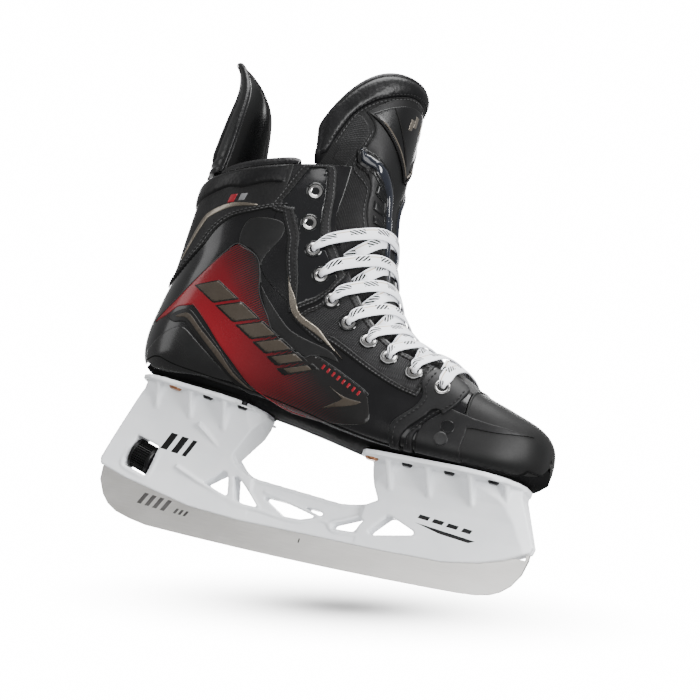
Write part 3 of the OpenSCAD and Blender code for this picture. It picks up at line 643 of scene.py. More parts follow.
def print_band():
    """The printed panel: red that turns to dark through fine lines."""
    s = Shader("print_band", (0.02, 0.02, 0.02), 0.3, Coat_Weight=0.35, Coat_Roughness=0.14)
    split = s.split("Object")
    x = s.math("MULTIPLY_ADD", split[0], 1000.0, 90.5)
    z = s.math("MULTIPLY_ADD", split[2], 1000.0, -135.2)
    across = s.math("ADD", s.math("MULTIPLY", x, 0.606), s.math("MULTIPLY", z, 0.795))
    along = s.math("SUBTRACT", s.math("MULTIPLY", x, 0.795), s.math("MULTIPLY", z, 0.606))
    width = s.ramp(along, -9.0, 50.0, 53.0, 30.0)
    share = s.math("DIVIDE", across, width)
    far = s.ramp(along, 60.0, 135.0, 1.0, 0.0)
    duty = s.math("MULTIPLY", s.ramp(share, 0.5, 1.05, 1.15, 0.0), far)
    line = s.math("FRACT", s.math("ADD", s.math("MULTIPLY", along, 0.66),
                                  s.math("MULTIPLY", across, -0.25)))
    red_here = s.math("LESS_THAN", line, duty)
    deep = s.blend(s.ramp(share, 0.0, 0.7), (0.15, 0.0018, 0.006), (0.07, 0.0014, 0.004))
    deep = s.blend(s.ramp(along, 30.0, 120.0), deep, (0.026, 0.002, 0.003))
    dark = s.blend(s.ramp(s.noise(40, 4), 0.35, 0.65), (0.0045, 0.0042, 0.0042),
                   (0.0060, 0.0054, 0.0054))
    s.color(s.blend(red_here, dark, deep))
    s.rough(s.noise(35, 5), 0.24, 0.36)
    s.bump(s.noise(600, 2), 0.05, 0.1)
    return s.material


def lace_cloth():
    """Flat woven lace, white with a broken black tracer and a beige tint beside it."""
    s = Shader("lace_cloth", (0.82, 0.83, 0.86), 0.8, Sheen_Weight=0.2)
    u, v = (s.math("MULTIPLY", part, 1000.0) for part in s.split("UV")[:2])
    twill = s.math("FRACT", s.math("ADD", s.math("MULTIPLY", u, 0.85),
                                   s.math("MULTIPLY", s.math("ABSOLUTE", v), 1.1)))
    ribs = s.math("PINGPONG", twill, 0.5)
    group = s.math("LESS_THAN", s.math("FRACT", s.math("DIVIDE", u, 19.0)), 0.55)
    band = s.math("MULTIPLY", s.math("GREATER_THAN", v, -0.4), s.math("LESS_THAN", v, 2.9))
    slant = s.math("FRACT", s.math("ADD", s.math("DIVIDE", u, 3.4), s.math("MULTIPLY", v, 0.5)))
    dash = s.math("MULTIPLY", s.math("MULTIPLY", group, band),
                  s.math("LESS_THAN", slant, 0.62))
    tint = s.math("MULTIPLY", s.math("SUBTRACT", 1.0, group),
                  s.math("LESS_THAN", s.math("ABSOLUTE", s.math("SUBTRACT", v, 2.2)), 0.35))
    white = s.blend(ribs, (0.74, 0.755, 0.80), (0.88, 0.885, 0.91))
    s.color(s.blend(dash, s.blend(tint, white, (0.50, 0.42, 0.32)), (0.004, 0.004, 0.005)))
    s.bump(ribs, 0.5, 0.35)
    s.bump(s.noise(1500, 2), 0.2, 0.15)
    return s.material


ground_steel, printed, lace_white = steel(), print_band(), lace_cloth()


# CAD nodes that stay in view get their finished materials
for node, material in (
        ("runner", ground_steel), ("lock_hook", zinc), ("front_bolts", bolt_dark),
        ("rear_bolts", bolt_dark), ("copper_rivets", copper), ("tee_nuts", zinc),
        ("insole_board", board), ("heel_counter", toe_satin), ("eyelets_lateral", nickel),
        ("eyelets_medial", nickel), ("aglets", aglet_clear)):
    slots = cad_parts[node].data.materials
    slots.clear()
    slots.append(material)


# ---- lace ------------------------------------------------------------------------------
LACE_W, LACE_T = 7.6, 1.3
TAIL_START = [(-29.2, 36.9, 175.2), (-33.8, 38, 170.8), (-38, 37.2, 166.3), (-41.5, 35.4, 161.5),
    (-44.2, 33.6, 156), (-46, 32.2, 149.5), (-47, 31.2, 142.5), (-47, 30.3, 135.5),
    (-47, 29.5, 128.5), (-46, 28.5, 121.5), (-43.5, 27.2, 115), (-39.5, 25.6, 109), (-34, 24, 104),
    (-27.5, 22.8, 100), (-20, 22, 97.2)]
TAIL_END = {INNER: [(-10, 22, 94.6), (5, 22, 91.6), (20, 22, 88.6), (35, 22, 86.2), (48, 22, 84.6),
    (58, 22, 84), (65, 20, 84.1), (70, 15, 85.2), (72, 8, 86), (70, 1, 85.6), (65, -4, 84.3),
    (58, -6, 84), (45, -6, 84.4), (30, -6, 86.2), (15, -6, 88.5), (0, -6, 91.4), (-15, -6, 94),
    (-30, -6, 96.6), (-42, -6, 98.2)], OUTER: [(-10, -22, 94.6), (5, -22, 91.6), (20, -22, 88.6),
    (35, -22, 86.2), (48, -22, 84.6), (65, -22, 83.7), (80, -22, 83.5), (87, -20, 83.5),
    (92, -15, 83.5), (94, -8, 83.5), (92, -1, 83.5), (87, 4, 83.5), (80, 6, 83.5), (68, 6, 83.6),
    (55, 6, 83.8), (42, 6, 84.8), (28, 6, 86.5), (14, 6, 89.2), (2, 6, 92)]}


def ribbon(route, half_width, half_thick, across, sides=14):
    """A flat cord with rounded edges: points, faces and flat coordinates."""
    n = len(route)
    t = unit(np.gradient(route, axis=0))
    w = unit(across - t * np.sum(across * t, 1, keepdims=True))
    h = np.cross(t, w)
    run = np.concatenate([[0], np.cumsum(np.linalg.norm(np.diff(route, axis=0), axis=1))])
    points, flat = [], []
    for c in range(sides):
        q = 2 * math.pi * (c + 0.5) / sides
        cs, sn = math.cos(q), math.sin(q)
        a = math.copysign(abs(cs) ** 0.75, cs)
        b = math.copysign(abs(sn) ** 0.55, sn)
        points.append(route + w * (half_width * a)[:, None] + h * (half_thick * b)[:, None])
        flat.append(np.stack([run, LACE_W / 2 * a * np.ones(n)], 1))
    points = np.stack(points, 1).reshape(-1, 3)
    flat = np.stack(flat, 1).reshape(-1, 2)
    return points, outward(points, ring_faces(n, sides)), flat / 1000


def tail(side, label):
    route = np.array([(x, side * y, z) for x, y, z in TAIL_START] + TAIL_END[side], float)
    last = len(route) - 1
    share = np.clip(np.minimum(np.arange(last + 1), last - np.arange(last + 1)) / 4, 0, 1)
    lean = []
    for i in range(last + 1):
        step = route[min(i + 1, last)] - route[i - 1] if i else route[1] - route[0]
        early = mix(np.array([-1, 0, 0.5]), np.array([0.3, side, 0]), float(ease((i - 6) / 6)))
        lean.append(early if i < 13 else side * np.cross([0, 0, 1], step))
    table = np.concatenate([route, np.stack([mix(1.9, LACE_W / 2, share),
                                             mix(0.9, LACE_T / 2, share)], 1),
                            np.array([v / np.linalg.norm(v) for v in lean])], 1)
    fine = rows_between(table, np.linspace(0, last, 6 * last + 1))
    points, faces, flat = ribbon(fine[:, :3], fine[:, 3], fine[:, 4], fine[:, 5:8])
    piece = make(f"lace_tail_{label}", points, faces, lace_white, uv=flat)
    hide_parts("lace_tails")


for side, label in SIDES:
    tail(side, label)


def eyelet_pass(k, side):
    s, a = EYELETS[k]
    start = 5 if k == 2 else -5
    return [(s, side * (a + start), -5.3, 1.9, 0.9), (s, side * (a + start / 5), -5, 1.7, 1),
            (s, side * a, -3.4, 1.6, 1.1), (s, side * a, 0.2, 1.6, 1.1),
            (s, side * (a - 0.6), 2.1, 1.8, 1), (s, side * (a - 3.5), 2.9, 2.8, 0.8),
            (s, side * (a - 9), 2.6, LACE_W / 2, LACE_T / 2)]


def crossing(k, side):
    s1, s2 = EYELETS[k][0], EYELETS[k + 1][0]
    top = 3.1 if side == OUTER else 1.4
    return [(mix(s1, s2, t), side * a, h, LACE_W / 2, LACE_T / 2) for t, a, h in (
        (0.22, 40, 2.3), (0.36, 22, top), (0.5, 0, top), (0.64, -22, top),
        (0.78, -36, 0.9), (0.84, -43, -2.6), (0.9, -50, -5.2))]


def lacing():
    """The lace's way from the third lateral eyelet down to the toe and back up."""
    down, up = [], []
    for k in range(2, 9):
        side = OUTER if k % 2 == 0 else INNER
        down += eyelet_pass(k, side) + crossing(k, side)
        up += eyelet_pass(k, -side) + crossing(k, -side)
    last = INNER
    bar = [(4.85, last * a, 2 if a == 0 else 2.2, LACE_W / 2, LACE_T / 2)
           for a in (48, 24, 0, -24, -48)]
    plan = np.array(down + eyelet_pass(9, last) + bar
                    + (up + eyelet_pass(9, -last))[::-1], float)
    rows = np.concatenate([
        at(plan[:, 0], plan[:, 1], plan[:, 2]), plan[:, 3:5],
        skin(plan[:, 0] + 0.2, plan[:, 1]) - skin(plan[:, 0] - 0.2, plan[:, 1])], 1)
    rows[:, 5:8] /= np.linalg.norm(rows[:, 5:8], axis=1, keepdims=True)
    fine = rows_between(rows, np.linspace(0, len(rows) - 1, 5 * (len(rows) - 1) + 1))
    points, faces, flat = ribbon(fine[:, :3], np.maximum(fine[:, 3], 1.4),
                                 np.maximum(fine[:, 4], 0.5), fine[:, 5:8])
    piece = make("lace_crossed", points, faces, lace_white, uv=flat)
    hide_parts("lace")


lacing()


# ---- boot ------------------------------------------------------------------------------
def loop_of(points, step=1.4, corners=()):
    """A closed smooth outline that keeps the corners with the given numbers."""
    doubled = []
    for i, p in enumerate(points):
        doubled += [p, p] if i in corners else [p]
    path = smooth_path(doubled, step, closed=True)
    keep = np.linalg.norm(path - np.roll(path, 1, 0), axis=1) > 0.25 * step
    return path[keep]


def inset(loop, d):
    """A closed outline moved inwards by d, without the points that would cross."""
    n = left_of(unit(np.roll(loop, -1, 0) - np.roll(loop, 1, 0)))
    area = np.sum(loop[:, 0] * np.roll(loop[:, 1], -1) - loop[:, 1] * np.roll(loop[:, 0], -1))
    moved = loop + n * d * (1 if area > 0 else -1)
    moved = moved[loop_distance(moved, loop) > 0.97 * d]
    keep = np.linalg.norm(moved - np.roll(moved, 1, 0), axis=1) > 0.35
    return moved[keep]


def disc_loop(s, a, r, n=26):
    """A circle of radius r round a place on the boot, in wrapped coordinates."""
    ds = (skin(s + 0.05, a) - skin(s - 0.05, a)) / 0.1 / S_MM
    da = (skin(s, a + 0.5) - skin(s, a - 0.5)) * A_MM
    e1 = ds / np.linalg.norm(ds)
    e2 = np.cross(skin_normal(s, a), e1)
    grid = np.array([[ds @ e1, da @ e1], [ds @ e2, da @ e2]])
    q = 2 * math.pi * np.arange(n) / n
    circle = np.linalg.solve(grid, r * np.stack([np.cos(q), np.sin(q)]))
    return circle.T + np.array([s * S_MM, a / A_MM])


def lathe(origin, normal, profile, sides=40):
    """Points and faces of a turned ring or button: profile is (radius, height) pairs."""
    n = unit(np.asarray(normal, float))
    e1 = unit(np.cross(n, [0.31, 0.2, 0.93]))
    e2 = np.cross(n, e1)
    q = 2 * math.pi * np.arange(sides) / sides
    rings = [np.asarray(origin) + r * (np.cos(q)[:, None] * e1 + np.sin(q)[:, None] * e2) + h * n
             for r, h in profile]
    points = np.concatenate(rings)
    return points, outward(points, ring_faces(len(profile), sides, True))


def offset(path, d):
    """An open path moved sideways by d."""
    return path + d * left_of(unit(np.gradient(path, axis=0)))


def strip(path, half):
    """The outline of a band that runs along a path, with half its width at each point."""
    aside = (offset(path, 1) - path) * half[:, None]
    return np.concatenate([path + aside, (path - aside)[::-1]])


COLLAR_LOW = [(14.6, 179), (14.6, 165), (14.6, 147), (14.8, 136), (15.1, 125), (15.4, 120),
    (15.6, 113), (15.6, 106), (15.5, 97), (15.4, 89), (15.2, 82)]
COLLAR_UP = [(16.5, 178), (16.5, 150), (16.5, 130), (16.5, 118), (16.4, 109), (16.4, 96),
    (16.3, 84)]
EYESTAY = [(16.9, 77), (16.9, 62), (16.4, 57), (13.6, 52.5), (11.4, 52.5), (9.8, 52), (9.7, 58),
    (9.6, 63), (9.6, 73), (9.7, 79), (9.85, 88), (10.9, 77), (12.9, 72), (14.9, 80), (15.4, 88),
    (15.95, 85)]
TEXTILE = [(9.55, 51.5), (9.5, 63), (9.5, 73), (9.6, 79), (9.65, 89), (8.6, 90), (8.4, 85),
    (7.1, 83), (6.0, 87), (5.45, 89), (5.35, 75), (5.3, 51.5)]
STRAP = [(5.75, 139), (5.8, 127), (5.8, 119), (5.7, 113), (5.4, 99), (5.3, 85), (5.45, 72),
    (5.3, 57), (4.95, 50), (4.35, 46), (4.15, 57), (4.5, 89), (5.0, 115), (5.2, 125), (5.2, 139)]
SLOT = [(4.9, 98), (5.2, 112), (5.4, 121), (5.5, 129), (5.5, 137), (5.42, 137), (5.4, 129),
    (5.3, 121), (5.05, 112)]
PRINT = [(-118.3, 123.8), (-104.4, 137.5), (-92.7, 152), (-83.8, 163.2), (-75.8, 172.3),
    (-70, 177.3), (-59.4, 173.2), (-53.8, 168.8), (-50.5, 159.6), (-47.7, 148.3), (-39.5, 135.9),
    (-32.1, 125.9), (-11.6, 114.7), (-0.7, 116.1), (32.7, 101.2), (35.9, 97.7), (40.6, 85.3),
    (38.9, 81.4), (26.2, 79.2), (11.9, 79), (-1.6, 80.5), (-15.2, 82.7), (-26.7, 86.6),
    (-35.6, 90.2), (-43.6, 94.7), (-54.4, 103.9), (-65.3, 113.1), (-77.2, 124.9), (-87.4, 133.7),
    (-90.5, 135.2), (-94.7, 134.4), (-101.2, 133.2), (-109.2, 127.4)]
CHEVRON = [(-108, 126.2), (-100.5, 130.4), (-94, 132.4), (-88.8, 131.2), (-78, 122.3),
    (-65.2, 111.6), (-54, 101.2), (-44, 94.6), (-33, 89.2), (-24, 86.2), (-36, 88.2), (-43.5, 89.2),
    (-55.5, 95), (-70.3, 106.5), (-83, 116.6), (-89, 121.9), (-93.8, 124.1), (-100.5, 123.4)]
TAUPE = [(-100.5, 127.3), (-93.4, 129.8), (-88.5, 128.3), (-79, 120.4), (-65.6, 110.1), (-54, 99.4),
    (-44.5, 93.4), (-38.1, 90.6), (-41.9, 91.2), (-54.5, 97.1), (-69.3, 108.8), (-82.2, 119.2),
    (-88.5, 124.5), (-93.4, 126.9), (-99.2, 126.2)]
HEEL = [(-119.7, 105.1), (-108.3, 115.2), (-99.2, 120.2), (-91.4, 120.3), (-76.4, 110.2),
    (-58.9, 98.6), (-50.5, 93.1), (-65.6, 94), (-83.1, 94.1), (-101.9, 93.9), (-114.8, 96.9),
    (-119.5, 101.1)]
GRAY = [(-69.7, 178.6), (-66.4, 194), (-46.2, 195.5), (-43, 186.6), (-51.4, 168.7), (-48.2, 154.3),
    (-28.1, 133.6), (-15.8, 127), (5.2, 121.2), (13.2, 114.6), (0.8, 116.9), (-11.6, 115.6),
    (-33, 127.2), (-40.2, 136), (-46.8, 149.5), (-49.8, 160), (-54.2, 169.6), (-60.2, 174.8)]
INLAY_UP = [(-112.5, 166.3), (-105.8, 181.4), (-100.2, 191.7), (-95.1, 196), (-80.5, 201.7),
    (-63.2, 203.2)]
INLAY_EYE = [(-32.4, 162.5), (-26.7, 144), (-19.4, 135.8), (-4.8, 128.8), (14.4, 117.3),
    (3.6, 125.7), (-5.7, 133.5), (-19, 140.4), (-24.8, 149.7), (-30.1, 157.6)]
CHECK = [(-4, 108.5), (12.9, 98.8), (22.9, 94.6), (33.5, 93.3), (28.2, 90.2), (9.3, 86.4),
    (19.2, 91.6), (21.2, 93.2)]
BAR_WIDTHS = (17, 14.5, 12, 9.5, 7, 4.5)


def line_on(side, path, radius, material, name, height):
    """A thin raised line along a side-view path."""
    route = projected(side)(path, height)
    p, f = tube(route, radius, 6)
    return make(name, p, f, material)


def row(name, path, side, height, material, **more):
    """Stitches along a fine (section, angle) path in wrapped coordinates."""
    s, a = path[:, 0] / S_MM, side * path[:, 1] / A_MM
    return stitches(name, at(s, a, height), skin_normal(s, a), material, **more)


def ribs(pitch, depth, turn=0.0):
    return lambda p: depth * np.cos(2 * math.pi * (p[:, 0] * math.cos(turn)
                                                   + p[:, 1] * math.sin(turn)) / pitch)


for side, label in SIDES:
    place, flat = wrapped(side), projected(side)

    def on_boot(name, loop, height, edge, material, **more):
        return panel(f"{name}_{label}", loop, place, height, edge, material, **more)

    def on_side(name, points, height, edge, material, corners=(), **more):
        return panel(f"{name}_{label}", loop_of(points, 1.6, corners), flat, height, edge,
                     material, **more)

    quarter = boot_sheet(
        f"shell_{label}", 170, 40, TOE + 0.03, COLLAR, side * 84.1,
        lambda s, k=side: k * (quarter_low(s) - 0.2), 0, SHELL, shell_black)
    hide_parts(f"quarter_{label}")

    bores = [disc_loop(s, a, 3.1) for s, a in EYELETS]
    facing = on_boot("facing", straight_path(wrap([(4.06, 50), (17, 50), (17, 83.9),
                                                    (4.06, 83.9)]), 2.0, True),
                     0.05, 0.5, shell_black, holes=bores, depth=SHELL, grid=3.0,
                     slot="facing_patent")
    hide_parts(f"facing_{label}")
    outer_edge = loop_of(wrap(EYESTAY), 1.3, (0, 1, 5, 10, 13))
    inner_edge = inset(outer_edge, 4.4)
    on_boot("eyestay_border", outer_edge, 0.95, 1.0, collar_leather, holes=[inner_edge],
            grid=1.6, slot="facing_patent")
    on_boot("eyestay", inset(outer_edge, 3.9), 0.5, 0.9, patent,
            holes=[disc_loop(s, a, 4.7) for s, a in EYELETS[:4]], slot="facing_patent")
    cloth_edge = loop_of(wrap(TEXTILE), 1.3, (0, 4, 9, 11))
    on_boot("textile_border", cloth_edge, 0.8, 0.9, collar_leather,
            holes=[inset(cloth_edge, 4.2)], grid=1.6, slot="facing_patent")
    on_boot("textile", inset(cloth_edge, 3.8), 0.35, 0.7, ribbed,
            holes=[disc_loop(s, a, 4.9) for s, a in EYELETS[4:9]], grid=0.62,
            relief=ribs(1.9, 0.22), slot="facing_patent")
    for k, d in enumerate((1.2, 3.2)):
        for name, loop in (("eyestay", outer_edge), ("textile", cloth_edge)):
            line = inset(loop, d)
            row(f"{name}_stitch_{label}_{k}", np.concatenate([line, line[:1]]), side,
                0.82 if name == "eyestay" else 0.68, thread if k == 0 else thread_dark,
                pitch=2.5, length=1.7)
    for k, (s, a) in enumerate(EYELETS):
        up = side * a
        p, f = lathe(skin(s, up), skin_normal(s, up),
                     [(4.5, 0.2), (5.6, 0.1), (5.5, 0.8), (5.1, 1.15), (4.7, 1.1), (4.45, 0.7)])
        make(f"eyelet_seat_{label}_{k + 1}", p, f, patent)

    up = wrap(COLLAR_LOW + [(17, 82), (17, 100), (17, 130), (17, 160), (17, 179)])
    on_boot("collar", loop_of(up, 1.6, (0, 10, 11, 15)), 1.0, 1.6, collar_leather,
            slot="collar_leather")
    on_boot("collar_cuff", loop_of(wrap(COLLAR_UP + [(16.97, 84), (16.97, 110), (16.97, 130),
                                                     (16.97, 178)]), 1.6, (0, 6, 7, 10)),
            2.3, 5.5, soft_leather, base=0.5, slot="collar_leather")
    low = smooth_path(wrap(COLLAR_LOW[1:]), 1.0)
    for k, d in enumerate((-1.6, -4.2)):
        row(f"collar_seam_{label}_{k}", offset(low, -d), side, 1.0, thread)
    upper = smooth_path(wrap(COLLAR_UP[1:]), 1.0)
    row(f"cuff_seam_{label}", offset(upper, 1.4), side, 1.0, thread)
    strap_hole = disc_loop(*EYELETS[9], 5.0)
    strap = on_boot("strap", loop_of(wrap(STRAP), 1.4, (0, 14)), 1.5, 1.3, strap_leather,
                    holes=[strap_hole, loop_of(wrap(SLOT), 1.2, (4, 5))], base=0.25,
                    slot="strap_leather")
    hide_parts(f"strap_{label}")
    s, a = EYELETS[9]
    p, f = lathe(skin(s, side * a), skin_normal(s, side * a),
                 [(2.9, 0.9), (2.95, 1.75), (3.4, 2.15), (4.1, 2.2), (4.7, 1.9), (4.75, 1.2)])
    make(f"strap_ring_{label}", p, f, nickel)
    for key, line in (("a", [(5.62, 137), (5.68, 127), (5.66, 119), (5.56, 113), (5.27, 99),
                             (5.17, 86), (5.28, 74), (5.15, 58)]),
                      ("b", [(4.27, 58), (4.38, 74), (4.62, 89), (4.86, 100), (5.1, 113),
                             (5.31, 125), (5.33, 137)])):
        row(f"strap_seam_{key}_{label}", smooth_path(wrap(line), 1.0), side, 1.72, thread_dark)

    on_side("print", PRINT, 0.45, 0.9, printed, (0, 5), grid=2.4, slot="shell_gloss")
    outline = smooth_path(PRINT[:16], 1.6)
    line_on(side, outline, 0.3, edge_line, f"print_line_{label}", 0.42)
    on_side("chevron", CHEVRON, 0.4, 0.8, outline_dark, (0, 9), base=0.12, grid=2.4)
    on_side("taupe", TAUPE, 0.35, 0.5, taupe, (0, 7), base=0.42, grid=2.4)
    on_side("heel_panel", HEEL, 0.5, 1.0, heel_gray, (0, 6), grid=2.4)
    on_side("gray_panel", GRAY, 0.4, 0.8, satin_gray, (9,), grid=2.4)
    on_side("inlay_eye", INLAY_EYE, 0.6, 0.7, bronze, (0, 4), base=1.1, grid=1.2)
    on_side("check", CHECK, 0.35, 0.4, taupe, (0, 3, 5), base=0.4)
    path = smooth_path(INLAY_UP, 1.2)
    half = 1.7 * np.sin(np.linspace(0.05, math.pi - 0.05, len(path))) ** 0.7 + 0.12
    panel(f"inlay_collar_{label}", strip(path, half), flat, 0.5, 0.6, bronze, base=0.9, depth=0.3)
    for k, (paint, quad) in enumerate((
            (red_paint, [(16.14, 116), (16.32, 115), (16.29, 110.5), (16.11, 111.5)]),
            (pale_line, [(16.1, 109), (16.27, 108), (16.23, 104), (16.06, 105)]))):
        panel(f"collar_mark_{label}_{k}", straight_path(wrap(quad), 0.9, True), wrapped(side),
              0.3, 0.4, paint, base=1.0, grid=1.2)
    line_on(side, smooth_path([(-36.5, 91.2), (-27.5, 87.6), (-16, 83.7), (-2, 81.3)], 1.2),
            0.3, red_paint, f"red_line_{label}", 0.4)

    run, lean, where = np.array([0.857, -0.515]), np.array([14.6, 4.4]), 0.0
    for k, width in enumerate(BAR_WIDTHS):
        lower = np.array([-90.5, 147.5]) + run * where
        quad = np.array([lower, lower + run * width, lower + run * width + lean,
                         lower + lean])
        middle = quad.mean(0)
        grown = middle + (quad - middle) * (1 + 2.4 / width, 1 + 2.4 / width)
        panel(f"bar_edge_{label}_{k}", straight_path(grown, 1.5, True), flat, 0.3, 0.5,
              outline_dark, base=0.35)
        panel(f"bar_{label}_{k}", straight_path(quad, 1.5, True), flat, 0.3, 0.5, taupe,
              base=0.6)
        where += width + 4.3
    start, stop = np.array([4.0, 110.6]), np.array([30.1, 98.4])
    for k, t in enumerate(np.linspace(0, 1, 8)):
        c = mix(start, stop, t)
        quad = c + np.array([(-1.4, -1.2), (0.2, -2.0), (1.6, 1.2), (0.0, 2.0)]) * 0.85
        panel(f"dash_{label}_{k}", straight_path(quad, 0.9, True), flat, 0.2, 0.35, red_paint,
              base=0.5)

# Toe cap, vamp and sole
cap = boot_sheet("toe_shell", 60, 90, 0, TOE - 0.03, -139.7, 139.7, 0, SHELL, toe_plastic)
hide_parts("toe_cap")
front = boot_sheet("vamp_cloth", 12, 40, TOE + 0.03, 4.5, -49.5, 49.5, 0, 2, tongue_fabric)
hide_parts("vamp")


def sole_edge(s):
    """The angle at which the sole ends on each side."""
    return quarter_low(s) + 0.3 + 6 * np.maximum(s - 11, 0)


sole = boot_sheet("sole", 120, 40, 0.3, 12, sole_edge, lambda s: 360 - sole_edge(s), 0, 3,
                  sole_black)
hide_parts("outsole")
for side, label in SIDES:
    place = wrapped(side)
    wing = loop_of(wrap([(4.45, 84), (4.04, 82), (3.72, 81), (3.28, 79), (2.84, 75),
                         (2.32, 71), (1.75, 62), (2.35, 76), (2.92, 87), (3.32, 92),
                         (3.68, 95), (3.9, 98), (3.92, 111), (3.96, 120), (3.97, 124),
                         (3.93, 131), (3.91, 139), (5.16, 139), (5.16, 124), (5.03, 112),
                         (4.8, 101), (4.6, 90)]), 1.4, (0, 6, 11, 14, 16, 17))
    panel(f"toe_wing_{label}", wing, place, 0.75, 0.8, toe_satin, base=0.05)
    parts = []
    for s, a in ((4.42, 107), (4.52, 121)):
        parts.append(lathe(skin(s, side * a), skin_normal(s, side * a),
                           [(0.01, 0.2), (4.0, 0.2), (4.05, 0.95), (3.8, 1.15), (3.2, 1.12),
                            (3.1, 1.0), (0.01, 1.02)]))
    p, f = join(parts)
    studs = make(f"studs_{label}", p, f, guard_rubber)
    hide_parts("toe_studs")
    lip = smooth_path(wrap([(0.75, 146), (1.0, 139), (1.35, 133.5), (1.76, 130.5), (2.0, 137),
                            (2.3, 141), (2.9, 141), (4.1, 140), (5.5, 138), (7, 136.5),
                            (9, 137), (11, 137.5), (11.6, 140.5), (11.9, 150)]), 1.2)
    p, f = tube(at(lip[:, 0] / S_MM, side * lip[:, 1] / A_MM, 0.05), 0.6, 8)
    make(f"sole_bead_{label}", p, f, sole_black)
toe_lines = smooth_path(wrap([(4.0, 139), (4.0, 100), (4.0, 60), (4.0, 20), (4.0, -20),
                              (4.0, -60), (4.0, -100), (4.0, -139)]), 1.2)
s, a = toe_lines[:, 0] / S_MM, toe_lines[:, 1] / A_MM
p, f = tube(at(s, a, -0.15), 0.75, 8)
make("toe_rim", p, f, toe_plastic)

# Padding and lining inside the boot
for side, label in SIDES:
    lining_sheet = boot_sheet(f"lining_{label}", 90, 30, 4.5, 16.95, side * 84,
                              lambda s, k=side: k * (quarter_low(s) - 1), 5, 8, lining)
    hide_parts(f"liner_{label}")

    def cuff(d):
        def surface(u, v, k=side):
            bend = math.pi * u
            back_off = d * 0.8
            top = skin(COLLAR, k * mix(80, 131, v), 5 - (5 - back_off) * np.cos(bend))
            lift = np.stack([0 * u, 0 * u, 0.6 + (6 - d) * np.sin(bend) ** 0.8
                             * (1 - 0.35 * (2 * v - 1) ** 8)], -1)
            return top + lift
        return surface

    p, f, _ = sheet(18, 60, cuff(0), cuff(1.6))
    piece = make(f"collar_roll_soft_{label}", p, f, soft_leather)
    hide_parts(f"collar_roll_{label}")

    def cushion(d):
        return lambda u, v, k=side: skin(
            mix(12.7, 15.4, u), k * mix(98, 140, v),
            8.8 + (0.6 + 5 * (np.sin(math.pi * u) * np.sin(math.pi * v)) ** 0.8) * d)

    p, f, _ = sheet(28, 28, cushion(0), cushion(1))
    piece = make(f"ankle_cushion_{label}", p, f, lining)
    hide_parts(f"ankle_pad_{label}")
bed = boot_sheet("foot_cushion", 80, 30, 2, 11.4, 144, 216, 9.4, 12.9, lining)
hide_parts("footbed")


# ---- tongue ----------------------------------------------------------------------------
TONGUE_TOP, HINGE_Z = 308.0, 243.0
V_MM = 0.75


def tongue_depth(a):
    return 0.4 + 6.4 * ease((np.abs(a) - 34) / 13)


def tongue_face(z, a, d=0.0):
    """Points on the tongue by its height in front and the angle round the ankle."""
    z, a = np.broadcast_arrays(np.asarray(z, float), np.asarray(a, float))
    s = np.interp(z, SECTIONS[:, 3], np.arange(len(SECTIONS)))
    s = np.where(z > HINGE_Z, 17.1, np.minimum(s, 17.1))
    low = skin(s, a, tongue_depth(a) + d)
    u = np.clip((z - HINGE_Z) / (TONGUE_TOP - HINGE_Z), 0, 1)
    wide = a * 74 / 70
    turn = np.radians(wide)
    start = skin(17.1, a, mix(tongue_depth(wide), 0.5, ease(3 * u)) + d)
    end = np.stack([-54 + (62 - d) * np.cos(turn), (45.5 - d) * np.sin(turn),
                    TONGUE_TOP - 46 * (np.abs(wide) / 74) ** 4], -1)
    high = mix(start, end, u[..., None]) + np.stack([0 * u, 0 * u, 0.8 * (1 - u)], -1)
    return np.where((z > HINGE_Z)[..., None], high, low)


def tongue_at(z, a, h):
    p = tongue_face(z, a)
    n = unit(np.cross(
        tongue_face(np.minimum(z + 0.6, TONGUE_TOP), a) - tongue_face(z - 0.6, a),
        tongue_face(z, a + 0.8) - tongue_face(z, a - 0.8)))
    out = np.sum(n * (p - np.array([-54, 0, 0]) - np.stack(
        [0 * p[..., 0], 0 * p[..., 0], p[..., 2]], -1)), -1, keepdims=True)
    n = np.where(out >= 0, n, -n)
    return p + n * np.asarray(h, float)[..., None], n


def on_tongue(p, h):
    return tongue_at(p[:, 0], p[:, 1] / V_MM, h)[0]


def lay(points):
    """(height, angle) points as flat coordinates on the tongue."""
    return np.asarray(points, float) * (1, V_MM)


def follow(piece):
    """The piece, with its transform baked into its points."""
    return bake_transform(piece)


def tongue_panel(name, loop, height, edge, material, **more):
    return follow(panel(name, loop, on_tongue, height, edge, material, body=None, **more))


def tongue_row(name, path, height, material, **more):
    p, n = tongue_at(path[:, 0], path[:, 1] / V_MM, height)
    return follow(stitches(name, p, n, material, body=None, **more))


def whole_tongue(name, d1, d2, top, material, n=150, m=70):
    low = SECTIONS[4, 3] * 0.5 + SECTIONS[5, 3] * 0.5

    def layer(d):
        return lambda u, v: tongue_face(
            mix(low, top - 0.8 * (d > 1) * u, u), mix(-69.9, 69.9, v), d)
    p, f, uv = sheet(n, m, layer(d1), layer(d2))
    return follow(make(name, p, f, material, body=None,
                       uv=np.concatenate([uv, uv]) * (0.18, 0.1)))


cloth = whole_tongue("tongue_cloth", 0, 4.8, TONGUE_TOP, tongue_fabric)
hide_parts("tongue_lower", "tongue_upper")
backing = whole_tongue("tongue_felt", 5.2, 8, TONGUE_TOP - 5, felt_gray)
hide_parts("tongue_felt_lower", "tongue_felt_upper")

